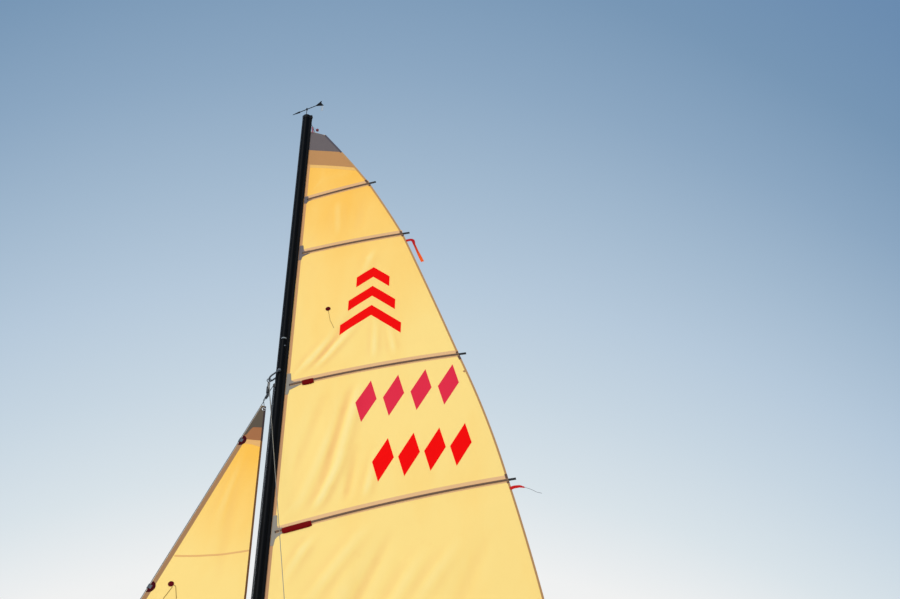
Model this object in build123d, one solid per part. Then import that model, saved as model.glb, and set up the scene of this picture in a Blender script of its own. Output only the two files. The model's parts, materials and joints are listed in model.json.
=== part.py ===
from build123d import *
import math
import os

# A beach catamaran with a sloop rig, parked on its two hulls with its sails up.
# Millimetres. +X is forward, +Y is to port, +Z is up.
# The origin is on the centreline at the keel line, half way along the boat.

# Hulls
HULL_LENGTH = 5200.0
HULL_SPACING = 2080.0
HULL_BREADTH = 300.0
HULL_DEPTH = 458.0
DECK_CROWN = 14.0
SHEER_LIP = 9.0
SHEER_LIP_DEPTH = 12.0
BOW_X = 2850.0
SEAT_Z = 464.0
SEAT_LENGTH = 176.0
SEAT_BREADTH = 150.0
HATCH_AHEAD = 650.0
HATCH_RADIUS = 62.0
HATCH_FLANGE = 14.0
HATCH_FLANGE_HEIGHT = 5.0
HATCH_DEPTH = 24.0
HATCH_PLUG_GAP = 0.3
HATCH_PLUG_LIFT = 4.0
HATCH_EDGE_ROUND = 3.0
HATCH_GRIP_THICKNESS = 12.0
HATCH_GRIP_HEIGHT = 9.0
POCKET_MARGIN = 2.0
DRAIN_RADIUS = 12.5
DRAIN_DEPTH = 30.0
DRAIN_Z = 118.0

# Platform
FRONT_BEAM_SETBACK = 2572.0
REAR_BEAM_AHEAD = 520.0
BEAM_RADIUS = 38.0
BEAM_WALL = 3.0
BEAM_CLEARANCE = 22.0
BEAM_OVERHANG = 74.0
BEAM_PLUG = 12.0
SADDLE_LENGTH = 120.0
SADDLE_BREADTH = 96.0
SADDLE_BAND = 6.0
SADDLE_ROUND = 14.0
SADDLE_WAIST = 0.72
SADDLE_FOOT = 12.0
RAIL_RADIUS = 20.0
RAIL_WALL = 2.0
RAIL_INSET = 182.0
NET_THICKNESS = 4.0
STRAP_Y = 300.0
STRAP_WIDTH = 50.0
STRAP_THICKNESS = 2.5
STRAP_LIFT = 6.0
STRIKER_RADIUS = 5.0
STRIKER_DROP = 118.0
STRIKER_POST_RADIUS = 11.0
STRIKER_LIFT = 26.0
STRIKER_FOOT_LENGTH = 44.0

# Mast step
BALL_RADIUS = 20.0
BALL_LIFT = 48.0
STEP_LENGTH = 96.0
STEP_BREADTH = 110.0
STEP_PLATE = 14.0
STEP_WRAP = 0.6
STEP_ROUND = 12.0
STEP_NECK_RADIUS = 13.0
SOCKET_GAP = 0.3

# Mast, in its own frame: +X forward, +Z up along the mast from the centre of the ball
MAST_RAKE = 0.7555
MAST_FOOT = 70.0
MAST_TOP = 8160.0
MAST_HALF_CHORD = 24.0
MAST_HALF_BREADTH = 20.0
MAST_CENTRE = 7.0
MAST_WALL = 2.2
TRACK_CENTRE = -27.0
TRACK_TAIL = -33.0
TRACK_HALF_BREADTH = 9.0
TRACK_NECK = -10.0
TRACK_RADIUS = 4.0
TRACK_MOUTH_ANGLE = 49.0
TRACK_FLARE_ANGLE = 35.0
TRACK_ABOVE_BOOM = 36.0
TRACK_BOSS_ROUND = 3.0
TRACK_OVERCUT = 1.0
CAP_HEIGHT = 31.0
CAP_MARGIN = 1.5
CAP_ROUND = 3.0
BASE_FLANGE = 3.0
BASE_RADIUS = 31.0
SHEAVE_RADIUS = 11.0
SHEAVE_THICKNESS = 8.0
SHEAVE_INSET = 6.0
SHEAVE_PIN_RADIUS = 3.0
SHEAVE_BORE_GAP = 0.05
SHEAVE_SIDE_GAP = 0.5
SHEAVE_RIM_GAP = 2.0
SHEAVE_GROOVE = 2.5
SHEAVE_CHEEK = 3.0
SHEAVE_CHEEK_RADIUS = 9.0

# Hounds
HOUND_HEIGHT = 5804.0
HOUND_X = 15.0
HOUND_BOLT_RADIUS = 5.0
BAIL_DROP = 59.0
BAIL_ROD_RADIUS = 5.5
BAIL_ARM_Y = 26.0
BAIL_EYE_RADIUS = 11.0
BAIL_EYE_THICKNESS = 9.0
HOUND_BOLT_HEAD = 5.0
HOUND_BOLT_FLANGE = 3.0
LINK_RING_RADIUS = 13.0
LINK_ROD_RADIUS = 3.0
LINK_GAP = 0.3
LINK_PLATE = 6.0
LINK_PLATE_WIDTH = 16.0
STAY_PIN_RADIUS = 4.0
STAY_PIN_LENGTH = 34.0
STAY_PIN_DROP = 30.0
STAY_GAP = 0.3
STAY_TOE = 4.0
FORK_CHEEK = 4.0
FORK_REACH = 12.0
FORK_SOCKET = 16.0
FORK_PIN_HEADS = 6.0
FORK_SOCKET_RADIUS = 9.0
STAY_SLEEVE_RADIUS = 5.2

# Standing rigging
WIRE_RADIUS = 2.0
SWAGE_RADIUS = 4.2
SWAGE_LENGTH = 46.0
EYE_RADIUS = 8.0
EYE_THICKNESS = 6.0
FORESTAY_DROP = 120.0
BRIDLE_Z = 1050.0
BRIDLE_PLATE_RADIUS = 22.0
BRIDLE_PLATE_THICKNESS = 5.0
BRIDLE_PIN_REACH = 7.0
TOW_HOLE_RADIUS = 5.0
TOW_EYE_RADIUS = 11.0
TOW_HOLE_SETBACK = 26.0
TANG_SETBACK = 124.2
CHAINPLATE_SETBACK = 808.0
CHAINPLATE_OUT = 80.0
PLATE_MARGIN = 10.0
PLATE_THICKNESS = 4.0
PLATE_LENGTH = 56.0
PLATE_BREADTH = 26.0
LUG_HEIGHT = 30.0
TANG_HEIGHT = 46.0
LUG_HOLE_RADIUS = 4.0
TANG_Z = 470.0
ADJUSTER_HOLES = 7
ADJUSTER_PITCH = 16.0
ADJUSTER_WIDTH = 18.0
ADJUSTER_THICKNESS = 3.0
ADJUSTER_GAP = 3.0
CLEVIS_PIN_ENDS = 4.0
BRIDLE_PIN_ENDS = 6.0

# Sails, laid out from the mast track and from the forestay
CLOTH = 2.0
ROPE_RADIUS = 3.6
MAIN_CAMBER = 90.0
MAIN_CHORD_MARGIN = 80.0
TACK_RISE = 54.0
CLEW_RISE = 109.0
CLEW_INSET = 60.0
HEAD_BELOW_MAST_TOP = 131.0
HEAD_LENGTH = 120.0
HEAD_FALL = 60.0
BATTEN_WIDTH = 14.0
BATTEN_THICKNESS = 4.0
BATTEN_START = 30.0
BATTEN_TIP = 46.0
# at the luff: distance below the head; at the leech: distance aft, rise from the luff,
# and the bulge of the leech above
BATTENS = (
    (705.0, 465.0, 118.0, 3.0),
    (1209.0, 717.0, 127.0, 3.0),
    (2335.0, 1111.0, 203.0, 17.0),
    (3430.0, 1419.0, 346.0, 11.0),
    (4599.0, 1690.0, 345.0, 9.0),
    (5789.0, 1905.0, 325.0, 9.0),
)
FOOT_BULGE = 12.0
JIB_CHORD_MARGIN = 13.0
JIB_CAMBER = 50.0
JIB_LUFF_GAP = 8.0
# distance aft of the forestay, distance down it
JIB_HEAD = (34.0, 88.0)
JIB_LEECH = (558.0, 1333.0)
JIB_HEAD_FALL = 2.0
JIB_CLEW_AFT = 1917.0
JIB_CLEW_RISE = 615.0
JIB_TACK_LIFT = 260.4
JIB_FOOT_BULGE = 60.0
HANK_FIRST = 378.0
HANK_LAST_ABOVE_TACK = 506.0
HANK_COUNT = 5
HANK_LENGTH = 30.0
HANK_RADIUS = 5.5
HANK_GAP = 0.3
HANK_JAW_LENGTH = 22.0
HANK_JAW_THICKNESS = 9.0
HANK_JAW_INSET = 3.0
HANK_JAW_REACH = 7.0

# Boom, in the mast's frame
BOOM_HEIGHT = 636.0
BOOM_HALF_HEIGHT = 30.0
BOOM_HALF_BREADTH = 24.0
BOOM_WALL = 2.5
BOOM_START = 96.0
BOOM_END = 2130.0
GOOSENECK_PIN_RADIUS = 4.0
GOOSENECK_NOSE_RADIUS = 8.4
GOOSENECK_TONGUE = 30.0
GOOSENECK_EAR = 10.0
GOOSENECK_GAP = 0.4
GOOSENECK_COLLAR = 3.5
GOOSENECK_PIN_HEAD = 3.0
GOOSENECK_PIN_END = 1.0
GOOSENECK_EAR_MARGIN = 1.0
TONGUE_RIM = 8.0
TONGUE_PLUG = 48.0
PIN_RUNNING_GAP = 0.06
SLIDER_LENGTH = 56.0
SLIDER_WIDTH = 22.0
SLIDER_BASE = 6.0
SLIDER_WRAP = 8.0
SLIDER_LUG_THICKNESS = 10.0
SLIDER_LUG_ABOVE_CLEW = 12.0
BOOM_CAP = 7.0
BOOM_CAP_PLUG = 40.0
BOOM_LUG_RADIUS = 12.0
BOOM_LUG_THICKNESS = 5.0

# Wind vane on the masthead
VANE_X = 12.0
VANE_LIFT = 71.0
VANE_YAW = 28.0
VANE_NOSE = 124.0
VANE_TAIL = 128.0
VANE_ROD_RADIUS = 3.0
VANE_PIN_RADIUS = 2.0
VANE_STEM_RADIUS = 3.0
VANE_HUB_RADIUS = 6.0
VANE_HUB_HEIGHT = 16.0
VANE_FIN_HEIGHT = 28.0
VANE_FIN_DROP = 30.0
VANE_FIN_THICKNESS = 1.6
VANE_FIN_LENGTH = 56.0
VANE_FIN_NOTCH = 4.0
VANE_FIN_NOTCH_HEIGHT = 8.0
VANE_FIN_SWEEP = 20.0
VANE_FIN_TIP = 8.0
VANE_NOSE_LENGTH = 62.0
VANE_NOSE_RADIUS = 6.5
VANE_NOSE_TAPER = 4.2
VANE_SEAT_GAP = 0.3
VANE_FOOT_RADIUS = 8.0
VANE_FOOT_HEIGHT = 8.0
VANE_PIN_END = 3.0

# Traveller
TRACK_BAR_WIDTH = 26.0
TRACK_BAR_HEIGHT = 7.0
TRACK_BAR_LENGTH = 1560.0
CAR_LENGTH = 70.0
CAR_SKIN = 5.0
CAR_GAP = 0.3
CAR_LUG_REACH = 34.0
CAR_LUG_RADIUS = 8.5
CAR_DROP = 5.5
CAR_ROUND = 4.0
TRACK_BAR_WRAP = 6.0
SHEET_HOLE_RADIUS = 4.0

# Rudders
RUDDER_PIN_SETBACK = 38.0
RUDDER_PIN_END = 8.0
RUDDER_PIN_HEAD = 4.0
RUDDER_PIN_RADIUS = 5.0
GUDGEON_LOW_Z = 190.0
GUDGEON_HIGH_Z = 400.0
GUDGEON_HEIGHT = 18.0
GUDGEON_RADIUS = 12.0
GUDGEON_PLATE = 5.0
GUDGEON_PLATE_BREADTH = 70.0
GUDGEON_PLATE_HEIGHT = 34.0
GUDGEON_WEB = 19.2
HEAD_GAP = 0.4
HEAD_TUBE_RADIUS = 12.0
CHEEK_THICKNESS = 7.0
CHEEK_NECK = 40.0
CHEEK_NOSE = 34.0
CHEEK_TOP = 20.0
CHEEK_HEEL = 14.0
CHEEK_HEEL_RISE = 8.0
CHEEK_SLOT_SETBACK = 6.0
CHEEK_BRIDGE = 22.0
TILLER_NECK_SEAT = 10.0
TILLER_SOCKET_WALL = 2.5
HEAD_COLLAR_GAP = 5.0
BLADE_BOLT_ENDS = 4.0
BLADE_THICKNESS = 18.0
BLADE_GAP = 0.6
BLADE_PIVOT_SETBACK = 112.0
BLADE_PIVOT_Z = 300.0
BLADE_CHORD = 170.0
BLADE_LENGTH = 700.0
BLADE_HEEL = 62.0
BLADE_TIP = 110.0
BLADE_TIP_ROUND = 29.0
BLADE_SHOULDER = 150.0
BLADE_NECK = 70.0
BLADE_BACK = 20.0
BLADE_FRONT = 40.0
BLADE_EDGE_ROUND = 6.48
BLADE_UP_ANGLE = 150.0
BLADE_BOLT_RADIUS = 6.0
TILLER_Z = 522.0
TILLER_RADIUS = 13.0
TILLER_SETBACK = 24.0
TILLER_SOCKET = 40.0
TILLER_REACH = 413.0
TILLER_END_MARGIN = 2.0
TILLER_END_LIFT = 0.5
TILLER_PIN_END = 3.0
TILLER_PIN_RADIUS = 5.0
CROSSBAR_Z = 552.0
CROSSBAR_RADIUS = 12.0
CROSSBAR_EYE_RADIUS = 14.0
CROSSBAR_EYE_HEIGHT = 26.0
CROSSBAR_SEAT = 11.2
OPEN_PIVOT_GAP = 0.4
EXTENSION_Z = 594.0
EXTENSION_RADIUS = 9.0
EXTENSION_LENGTH = 1050.0
EXTENSION_PIN_END = 6.0
EXTENSION_EYE_MARGIN = 2.0
GRIP_LENGTH = 180.0
GRIP_WALL = 2.5

# Places worked out from the sizes above
TRANSOM_X = BOW_X - HULL_LENGTH
HULL_Y = HULL_SPACING / 2
FRONT_BEAM_X = BOW_X - FRONT_BEAM_SETBACK
REAR_BEAM_X = TRANSOM_X + REAR_BEAM_AHEAD
HATCH_X = REAR_BEAM_X + HATCH_AHEAD
RAIL_Y = HULL_Y - RAIL_INSET
CHAINPLATE_X = FRONT_BEAM_X - CHAINPLATE_SETBACK
CHAINPLATE_Y = HULL_Y + CHAINPLATE_OUT
RUDDER_PIN_X = TRANSOM_X - RUDDER_PIN_SETBACK
BLADE_PIVOT_X = RUDDER_PIN_X - BLADE_PIVOT_SETBACK
TILLER_END_X = RUDDER_PIN_X + TILLER_REACH
BEAM_Z = SEAT_Z + BEAM_CLEARANCE + BEAM_RADIUS
BALL_Z = BEAM_Z + BEAM_RADIUS + BALL_LIFT
BEAM_HALF_LENGTH = HULL_Y + BEAM_OVERHANG
AXIS_LEAN = math.tan(math.radians(MAST_RAKE))
MAST_FRAME = Location((FRONT_BEAM_X, 0, BALL_Z), (0, -MAST_RAKE, 0))
BAIL_HEIGHT = HOUND_HEIGHT - BAIL_DROP
BAIL_APEX_X = BAIL_HEIGHT * AXIS_LEAN
BAIL_APEX_Z = BALL_Z + BAIL_HEIGHT / math.cos(math.radians(MAST_RAKE))
STAY_TOP = Vector(FRONT_BEAM_X, 0, BAIL_APEX_Z - FORESTAY_DROP)
TANG_X = BOW_X - TANG_SETBACK
TANG_TOP = TANG_Z + TANG_HEIGHT
FORESTAY_ANGLE = math.degrees(math.atan2(TANG_X - STAY_TOP.X, STAY_TOP.Z - TANG_TOP))
STAY_LENGTH = (STAY_TOP.Z - BRIDLE_Z) / math.cos(math.radians(FORESTAY_ANGLE))
STAY_FRAME = Location((STAY_TOP.X, STAY_TOP.Y, STAY_TOP.Z), (0, -FORESTAY_ANGLE, 0))
STAY_FOOT = Vector(
    STAY_TOP.X + STAY_LENGTH * math.sin(math.radians(FORESTAY_ANGLE)), 0, BRIDLE_Z)
HEAD_LUFF_HEIGHT = MAST_TOP - HEAD_BELOW_MAST_TOP
HEAD = (HEAD_LENGTH, HEAD_LUFF_HEIGHT - HEAD_FALL)
TACK_HEIGHT = BOOM_HEIGHT + TACK_RISE
CLEW = (BOOM_END - CLEW_INSET, BOOM_HEIGHT + CLEW_RISE)
TRACK_FOOT = BOOM_HEIGHT + TRACK_ABOVE_BOOM
MAIN_CHORD = CLEW[0] + MAIN_CHORD_MARGIN
VANE_HEIGHT = MAST_TOP + CAP_HEIGHT + VANE_LIFT
SHEAVE_X = TRACK_TAIL + SHEAVE_INSET
SHEAVE_Z = MAST_TOP + CAP_HEIGHT / 2
JIB_TACK_DOWN = STAY_LENGTH - JIB_TACK_LIFT
JIB_CLEW = (JIB_CLEW_AFT, JIB_TACK_DOWN - JIB_CLEW_RISE)
JIB_CHORD = JIB_CLEW_AFT + JIB_CHORD_MARGIN
HANK_PITCH = (JIB_TACK_DOWN - HANK_LAST_ABOVE_TACK - HANK_FIRST) / (HANK_COUNT - 1)
SIDES = (("port", 1), ("starboard", -1))


def rod(start, end, radius):
    """A round bar between two points."""
    start, end = Vector(start), Vector(end)
    along = end - start
    return Plane(origin=start, z_dir=along) * extrude(Circle(radius), along.length)


def upright(x, y, low, high, radius):
    """A round bar that stands on end."""
    return Pos(x, y, low) * extrude(Circle(radius), high - low)


def crosswise(x, y, z, length, radius):
    """A round bar along Y, centred on a point."""
    return Pos(x, y, z) * Rot(90, 0, 0) * Cylinder(radius, length)


def block(x, y, z, length, breadth, height):
    """A box centred in plan on x, y, with its bottom at z."""
    return Pos(x, y, z) * Box(length, breadth, height, align=(Align.CENTER, Align.CENTER, Align.MIN))


# Hulls

# station from the transom as a share of the length, half breadth at the deck and at the
# chine as shares of the greatest, rise of the keel, rise of the sheer
HULL_STATIONS = (
    (0.00, 0.74, 0.60, 74.0, 0.0),
    (0.20, 0.93, 0.80, -3.0, 0.0),
    (0.45, 1.00, 0.88, -6.0, 0.0),
    (0.68, 0.90, 0.72, -3.0, 3.0),
    (0.88, 0.50, 0.34, 26.0, 16.0),
    (1.00, 0.05, 0.04, 120.0, 32.0),
)
CHINE_RISE = 150.0
KEEL_HALF = 7.0


def hull_section(share, deck_share, chine_share, keel_rise, sheer_rise):
    """One closed section of a hull: lip, topside, round bilge and narrow keel."""
    deck = HULL_BREADTH / 2 * deck_share
    chine = HULL_BREADTH / 2 * chine_share
    keel = min(KEEL_HALF, chine * 0.6)
    top = HULL_DEPTH + sheer_rise
    lip = deck + SHEER_LIP
    low = keel_rise + CHINE_RISE
    bilge = (keel + (chine - keel) * 0.74, keel_rise + CHINE_RISE * 0.36)
    edges = [ThreePointArc((-lip, top), (0, top + DECK_CROWN), (lip, top))]
    for side in (1, -1):
        edges += [
            Line((side * lip, top), (side * lip, top - SHEER_LIP_DEPTH)),
            Line((side * lip, top - SHEER_LIP_DEPTH), (side * deck, top - SHEER_LIP_DEPTH)),
            Line((side * deck, top - SHEER_LIP_DEPTH), (side * chine, low)),
            ThreePointArc((side * chine, low), (side * bilge[0], bilge[1]), (side * keel, keel_rise)),
        ]
    edges.append(Line((-keel, keel_rise), (keel, keel_rise)))
    x = TRANSOM_X + HULL_LENGTH * share
    section = Plane(origin=(x, 0, 0), x_dir=(0, 1, 0), z_dir=(1, 0, 0))
    return section * make_face(Wire(edges))


def make_hull(side):
    """A decked hull with flats for its fittings, a hatch hole and a drain."""
    body = loft([hull_section(*station) for station in HULL_STATIONS])
    ground = block(0, 0, -HULL_DEPTH, 2 * HULL_LENGTH, 2 * HULL_BREADTH, HULL_DEPTH)
    body = body - ground
    above = HULL_DEPTH
    for beam_x in (FRONT_BEAM_X, REAR_BEAM_X):
        body -= block(beam_x, 0, SEAT_Z, SEAT_LENGTH, SEAT_BREADTH, above)
    chain_y = (CHAINPLATE_Y - HULL_Y) * side
    body -= block(CHAINPLATE_X, chain_y, SEAT_Z, PLATE_LENGTH + PLATE_MARGIN,
                  PLATE_BREADTH + PLATE_MARGIN, above)
    body -= block(TANG_X, 0, TANG_Z, PLATE_LENGTH + TOW_HOLE_SETBACK, HULL_BREADTH, above)
    flange = HATCH_RADIUS + HATCH_FLANGE
    body -= upright(HATCH_X, 0, SEAT_Z, SEAT_Z + above, flange + POCKET_MARGIN)
    body -= upright(HATCH_X, 0, SEAT_Z - HATCH_DEPTH, SEAT_Z, HATCH_RADIUS)
    drain = rod((TRANSOM_X - 1, 0, DRAIN_Z), (TRANSOM_X + DRAIN_DEPTH, 0, DRAIN_Z), DRAIN_RADIUS)
    return Pos(0, side * HULL_Y, 0) * (body - drain)


def make_hatch_covers():
    """Round hatch covers, one seated in each deck."""
    flange = HATCH_RADIUS + HATCH_FLANGE
    plug = upright(HATCH_X, 0, SEAT_Z - HATCH_DEPTH + HATCH_PLUG_LIFT, SEAT_Z,
                   HATCH_RADIUS - HATCH_PLUG_GAP)
    rim = fillet(
        upright(HATCH_X, 0, SEAT_Z, SEAT_Z + HATCH_FLANGE_HEIGHT, flange)
        .edges().group_by(Axis.Z)[-1], HATCH_EDGE_ROUND)
    grip = block(HATCH_X, 0, SEAT_Z + HATCH_FLANGE_HEIGHT, HATCH_RADIUS * 1.5,
                 HATCH_GRIP_THICKNESS, HATCH_GRIP_HEIGHT)
    cover = plug + rim + grip
    return [Pos(0, side * HULL_Y, 0) * cover for _, side in SIDES]


# Platform

def make_beam(beam_x):
    """A crossbeam tube with its closing plugs."""
    tube = crosswise(beam_x, 0, BEAM_Z, 2 * BEAM_HALF_LENGTH, BEAM_RADIUS)
    bore = crosswise(beam_x, 0, BEAM_Z, 2 * (BEAM_HALF_LENGTH - BEAM_PLUG), BEAM_RADIUS - BEAM_WALL)
    return tube - bore


def beam_core(beam_x):
    """The space that a crossbeam fills, to seat things on it."""
    return crosswise(beam_x, 0, BEAM_Z, 3 * BEAM_HALF_LENGTH, BEAM_RADIUS)


def make_saddles():
    """Castings that clamp the beams to the decks, one at each corner."""
    saddles = []
    for beam_x in (FRONT_BEAM_X, REAR_BEAM_X):
        for _, side in SIDES:
            y = side * HULL_Y
            waist = SADDLE_BREADTH * SADDLE_WAIST
            foot = block(beam_x, y, SEAT_Z, SADDLE_LENGTH, SADDLE_BREADTH, SADDLE_FOOT)
            chest = block(beam_x, y, SEAT_Z, SADDLE_LENGTH * SADDLE_WAIST, waist, BEAM_Z - SEAT_Z)
            band = crosswise(beam_x, y, BEAM_Z, waist, BEAM_RADIUS + SADDLE_BAND)
            foot = fillet(foot.edges().filter_by(Axis.Z), SADDLE_ROUND)
            saddles.append(foot + chest + band - beam_core(beam_x))
    return saddles


def make_side_rails():
    """Tubes along the sides of the trampoline, coped on to the beams."""
    rails = []
    for _, side in SIDES:
        start = (REAR_BEAM_X, side * RAIL_Y, BEAM_Z)
        end = (FRONT_BEAM_X, side * RAIL_Y, BEAM_Z)
        tube = rod(start, end, RAIL_RADIUS) - rod(start, end, RAIL_RADIUS - RAIL_WALL)
        rails.append(tube - beam_core(FRONT_BEAM_X) - beam_core(REAR_BEAM_X))
    return rails


def between_beams(y, breadth, z, height):
    """A flat sheet that reaches from beam to beam."""
    middle = (FRONT_BEAM_X + REAR_BEAM_X) / 2
    sheet = block(middle, y, z, FRONT_BEAM_X - REAR_BEAM_X, breadth, height)
    return sheet - beam_core(FRONT_BEAM_X) - beam_core(REAR_BEAM_X)


def make_trampoline():
    """The net between the beams and the side rails."""
    return between_beams(0, 2 * (RAIL_Y - RAIL_RADIUS), BEAM_Z - NET_THICKNESS / 2, NET_THICKNESS)


def make_hiking_straps():
    """Two foot straps over the trampoline."""
    low = BEAM_Z + NET_THICKNESS / 2 + STRAP_LIFT
    return [between_beams(side * STRAP_Y, STRAP_WIDTH, low, STRAP_THICKNESS) for _, side in SIDES]


def make_dolphin_striker():
    """The rod and post under the front beam that carry the mast's load."""
    end_y = HULL_Y - SADDLE_BREADTH * SADDLE_WAIST / 2
    low = BEAM_Z - STRIKER_DROP
    high = SEAT_Z + STRIKER_LIFT
    slope = (high - low) / end_y
    over = STRIKER_RADIUS
    arms = [rod((FRONT_BEAM_X, 0, low), (FRONT_BEAM_X, side * (end_y + over), high + over * slope),
                STRIKER_RADIUS) for _, side in SIDES]
    post = upright(FRONT_BEAM_X, 0, low - STRIKER_RADIUS, BEAM_Z, STRIKER_POST_RADIUS)
    foot = crosswise(FRONT_BEAM_X, 0, low, STRIKER_FOOT_LENGTH, STRIKER_POST_RADIUS)
    span = block(FRONT_BEAM_X, 0, 0, 4 * STRIKER_POST_RADIUS, 2 * end_y, BEAM_Z)
    return ((arms[0] + arms[1]) & span) + post + foot - beam_core(FRONT_BEAM_X)


def make_mast_step():
    """The step casting on the front beam, with the ball that the mast turns on."""
    low = BEAM_Z + BEAM_RADIUS * STEP_WRAP
    plate_top = BEAM_Z + BEAM_RADIUS + STEP_PLATE
    plate = block(FRONT_BEAM_X, 0, low, STEP_LENGTH, STEP_BREADTH, plate_top - low)
    plate = fillet(plate.edges().filter_by(Axis.Z), STEP_ROUND) - beam_core(FRONT_BEAM_X)
    neck = upright(FRONT_BEAM_X, 0, plate_top, BALL_Z, STEP_NECK_RADIUS)
    ball = Pos(FRONT_BEAM_X, 0, BALL_Z) * Sphere(BALL_RADIUS)
    return plate + neck + ball


# Mast, in its own frame

def mast_outline(margin=0.0):
    """The outside of the mast's section: an oval with the luff track behind it."""
    oval = Pos(MAST_CENTRE, 0) * Ellipse(MAST_HALF_CHORD + margin, MAST_HALF_BREADTH + margin)
    length = TRACK_NECK - TRACK_TAIL + margin
    boss = Pos(TRACK_NECK - length / 2, 0) * RectangleRounded(
        length, 2 * (TRACK_HALF_BREADTH + margin), TRACK_BOSS_ROUND)
    return oval + boss


def track_cut():
    """The round groove and flared mouth that the sail's bolt rope slides in."""
    mouth = math.radians(TRACK_MOUTH_ANGLE)
    lip_x = TRACK_CENTRE - TRACK_RADIUS * math.cos(mouth)
    lip_y = TRACK_RADIUS * math.sin(mouth)
    tail_x = TRACK_TAIL - TRACK_OVERCUT
    tail_y = lip_y + (lip_x - tail_x) * math.tan(math.radians(TRACK_FLARE_ANGLE))
    flare = make_face(Polyline(
        (TRACK_CENTRE, 0), (lip_x, lip_y), (tail_x, tail_y),
        (tail_x, -tail_y), (lip_x, -lip_y), close=True))
    return Pos(TRACK_CENTRE, 0) * Circle(TRACK_RADIUS) + flare


def mast_bore():
    """The hollow inside of the mast's section."""
    return Pos(MAST_CENTRE, 0) * Ellipse(
        MAST_HALF_CHORD - MAST_WALL, MAST_HALF_BREADTH - MAST_WALL)


def make_mast():
    """The mast extrusion, plain below the gooseneck and with its luff track above."""
    oval = Pos(MAST_CENTRE, 0) * Ellipse(MAST_HALF_CHORD, MAST_HALF_BREADTH)
    lower = Pos(0, 0, MAST_FOOT) * extrude(oval - mast_bore(), TRACK_FOOT - MAST_FOOT)
    upper = Pos(0, 0, TRACK_FOOT) * extrude(
        mast_outline() - track_cut() - mast_bore(), MAST_TOP - TRACK_FOOT)
    bolt = crosswise(HOUND_X, 0, HOUND_HEIGHT, 4 * MAST_HALF_BREADTH, HOUND_BOLT_RADIUS)
    return lower + upper - bolt


def make_mast_base():
    """The heel casting: a plug in the mast, a flange, and a cup over the ball."""
    plug = Pos(0, 0, MAST_FOOT) * extrude(mast_bore(), 2 * MAST_HALF_CHORD)
    flange = Pos(0, 0, MAST_FOOT - BASE_FLANGE) * extrude(
        Pos(MAST_CENTRE, 0) * Ellipse(
            MAST_HALF_CHORD + BASE_FLANGE, MAST_HALF_BREADTH + BASE_FLANGE), BASE_FLANGE)
    neck_section = Pos(MAST_CENTRE, 0, MAST_FOOT - BASE_FLANGE) * Ellipse(
        MAST_HALF_CHORD + BASE_FLANGE, MAST_HALF_BREADTH + BASE_FLANGE)
    cup_section = Pos(0, 0, BALL_RADIUS) * Circle(BASE_RADIUS)
    neck = loft([cup_section, neck_section])
    cup = upright(0, 0, 0, BALL_RADIUS, BASE_RADIUS)
    socket = Sphere(BALL_RADIUS + SOCKET_GAP)
    return plug + flange + neck + cup - socket


def make_mast_head():
    """The masthead casting: a cap, with two cheeks that hold the halyard sheave."""
    cap = Pos(0, 0, MAST_TOP) * extrude(mast_outline(CAP_MARGIN), CAP_HEIGHT)
    cap = fillet(cap.edges().group_by(Axis.Z)[-1], CAP_ROUND)
    cheek_y = SHEAVE_THICKNESS / 2 + SHEAVE_SIDE_GAP
    for _, side in SIDES:
        y = side * (cheek_y + SHEAVE_CHEEK / 2)
        cap += crosswise(SHEAVE_X, y, SHEAVE_Z, SHEAVE_CHEEK, SHEAVE_CHEEK_RADIUS)
    slot = crosswise(SHEAVE_X, 0, SHEAVE_Z, 2 * cheek_y, SHEAVE_RADIUS + SHEAVE_RIM_GAP)
    pin = crosswise(SHEAVE_X, 0, SHEAVE_Z, 2 * cheek_y + SHEAVE_CHEEK, SHEAVE_PIN_RADIUS)
    return cap - slot + pin


def make_head_sheave():
    """The grooved halyard sheave at the masthead."""
    bore = SHEAVE_PIN_RADIUS + SHEAVE_BORE_GAP
    half = SHEAVE_THICKNESS / 2
    profile = Polyline(
        (bore, -half), (SHEAVE_RADIUS, -half), (SHEAVE_RADIUS - SHEAVE_GROOVE, 0),
        (SHEAVE_RADIUS, half), (bore, half), close=True)
    wheel = revolve(make_face(profile), axis=Axis.Y)
    return Pos(SHEAVE_X, 0, SHEAVE_Z) * wheel


def make_hound_bail():
    """The bail: a bolt through the mast and a bent rod that carries the stays."""
    drop = math.atan2(BAIL_DROP, BAIL_APEX_X - HOUND_X)
    reach = math.hypot(BAIL_DROP, BAIL_APEX_X - HOUND_X) - BAIL_ARM_Y
    path = Wire([
        Line((0, BAIL_ARM_Y), (reach, BAIL_ARM_Y)),
        ThreePointArc((reach, BAIL_ARM_Y), (reach + BAIL_ARM_Y, 0), (reach, -BAIL_ARM_Y)),
        Line((reach, -BAIL_ARM_Y), (0, -BAIL_ARM_Y)),
    ])
    rod_section = Plane(origin=(0, BAIL_ARM_Y, 0), z_dir=(1, 0, 0)) * Circle(BAIL_ROD_RADIUS)
    bow = sweep(rod_section, path=path)
    bow = Pos(HOUND_X, 0, HOUND_HEIGHT) * Rot(0, math.degrees(drop), 0) * bow
    for _, side in SIDES:
        bow += crosswise(HOUND_X, side * BAIL_ARM_Y, HOUND_HEIGHT,
                         BAIL_EYE_THICKNESS, BAIL_EYE_RADIUS)
    half = BAIL_ARM_Y + BAIL_EYE_THICKNESS / 2 + HOUND_BOLT_HEAD
    bolt = crosswise(HOUND_X, 0, HOUND_HEIGHT, 2 * half, HOUND_BOLT_RADIUS)
    heads = [crosswise(HOUND_X, side * (half - HOUND_BOLT_HEAD / 2), HOUND_HEIGHT,
                       HOUND_BOLT_HEAD, HOUND_BOLT_RADIUS + HOUND_BOLT_FLANGE)
             for _, side in SIDES]
    return bow + bolt + heads[0] + heads[1]


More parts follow.
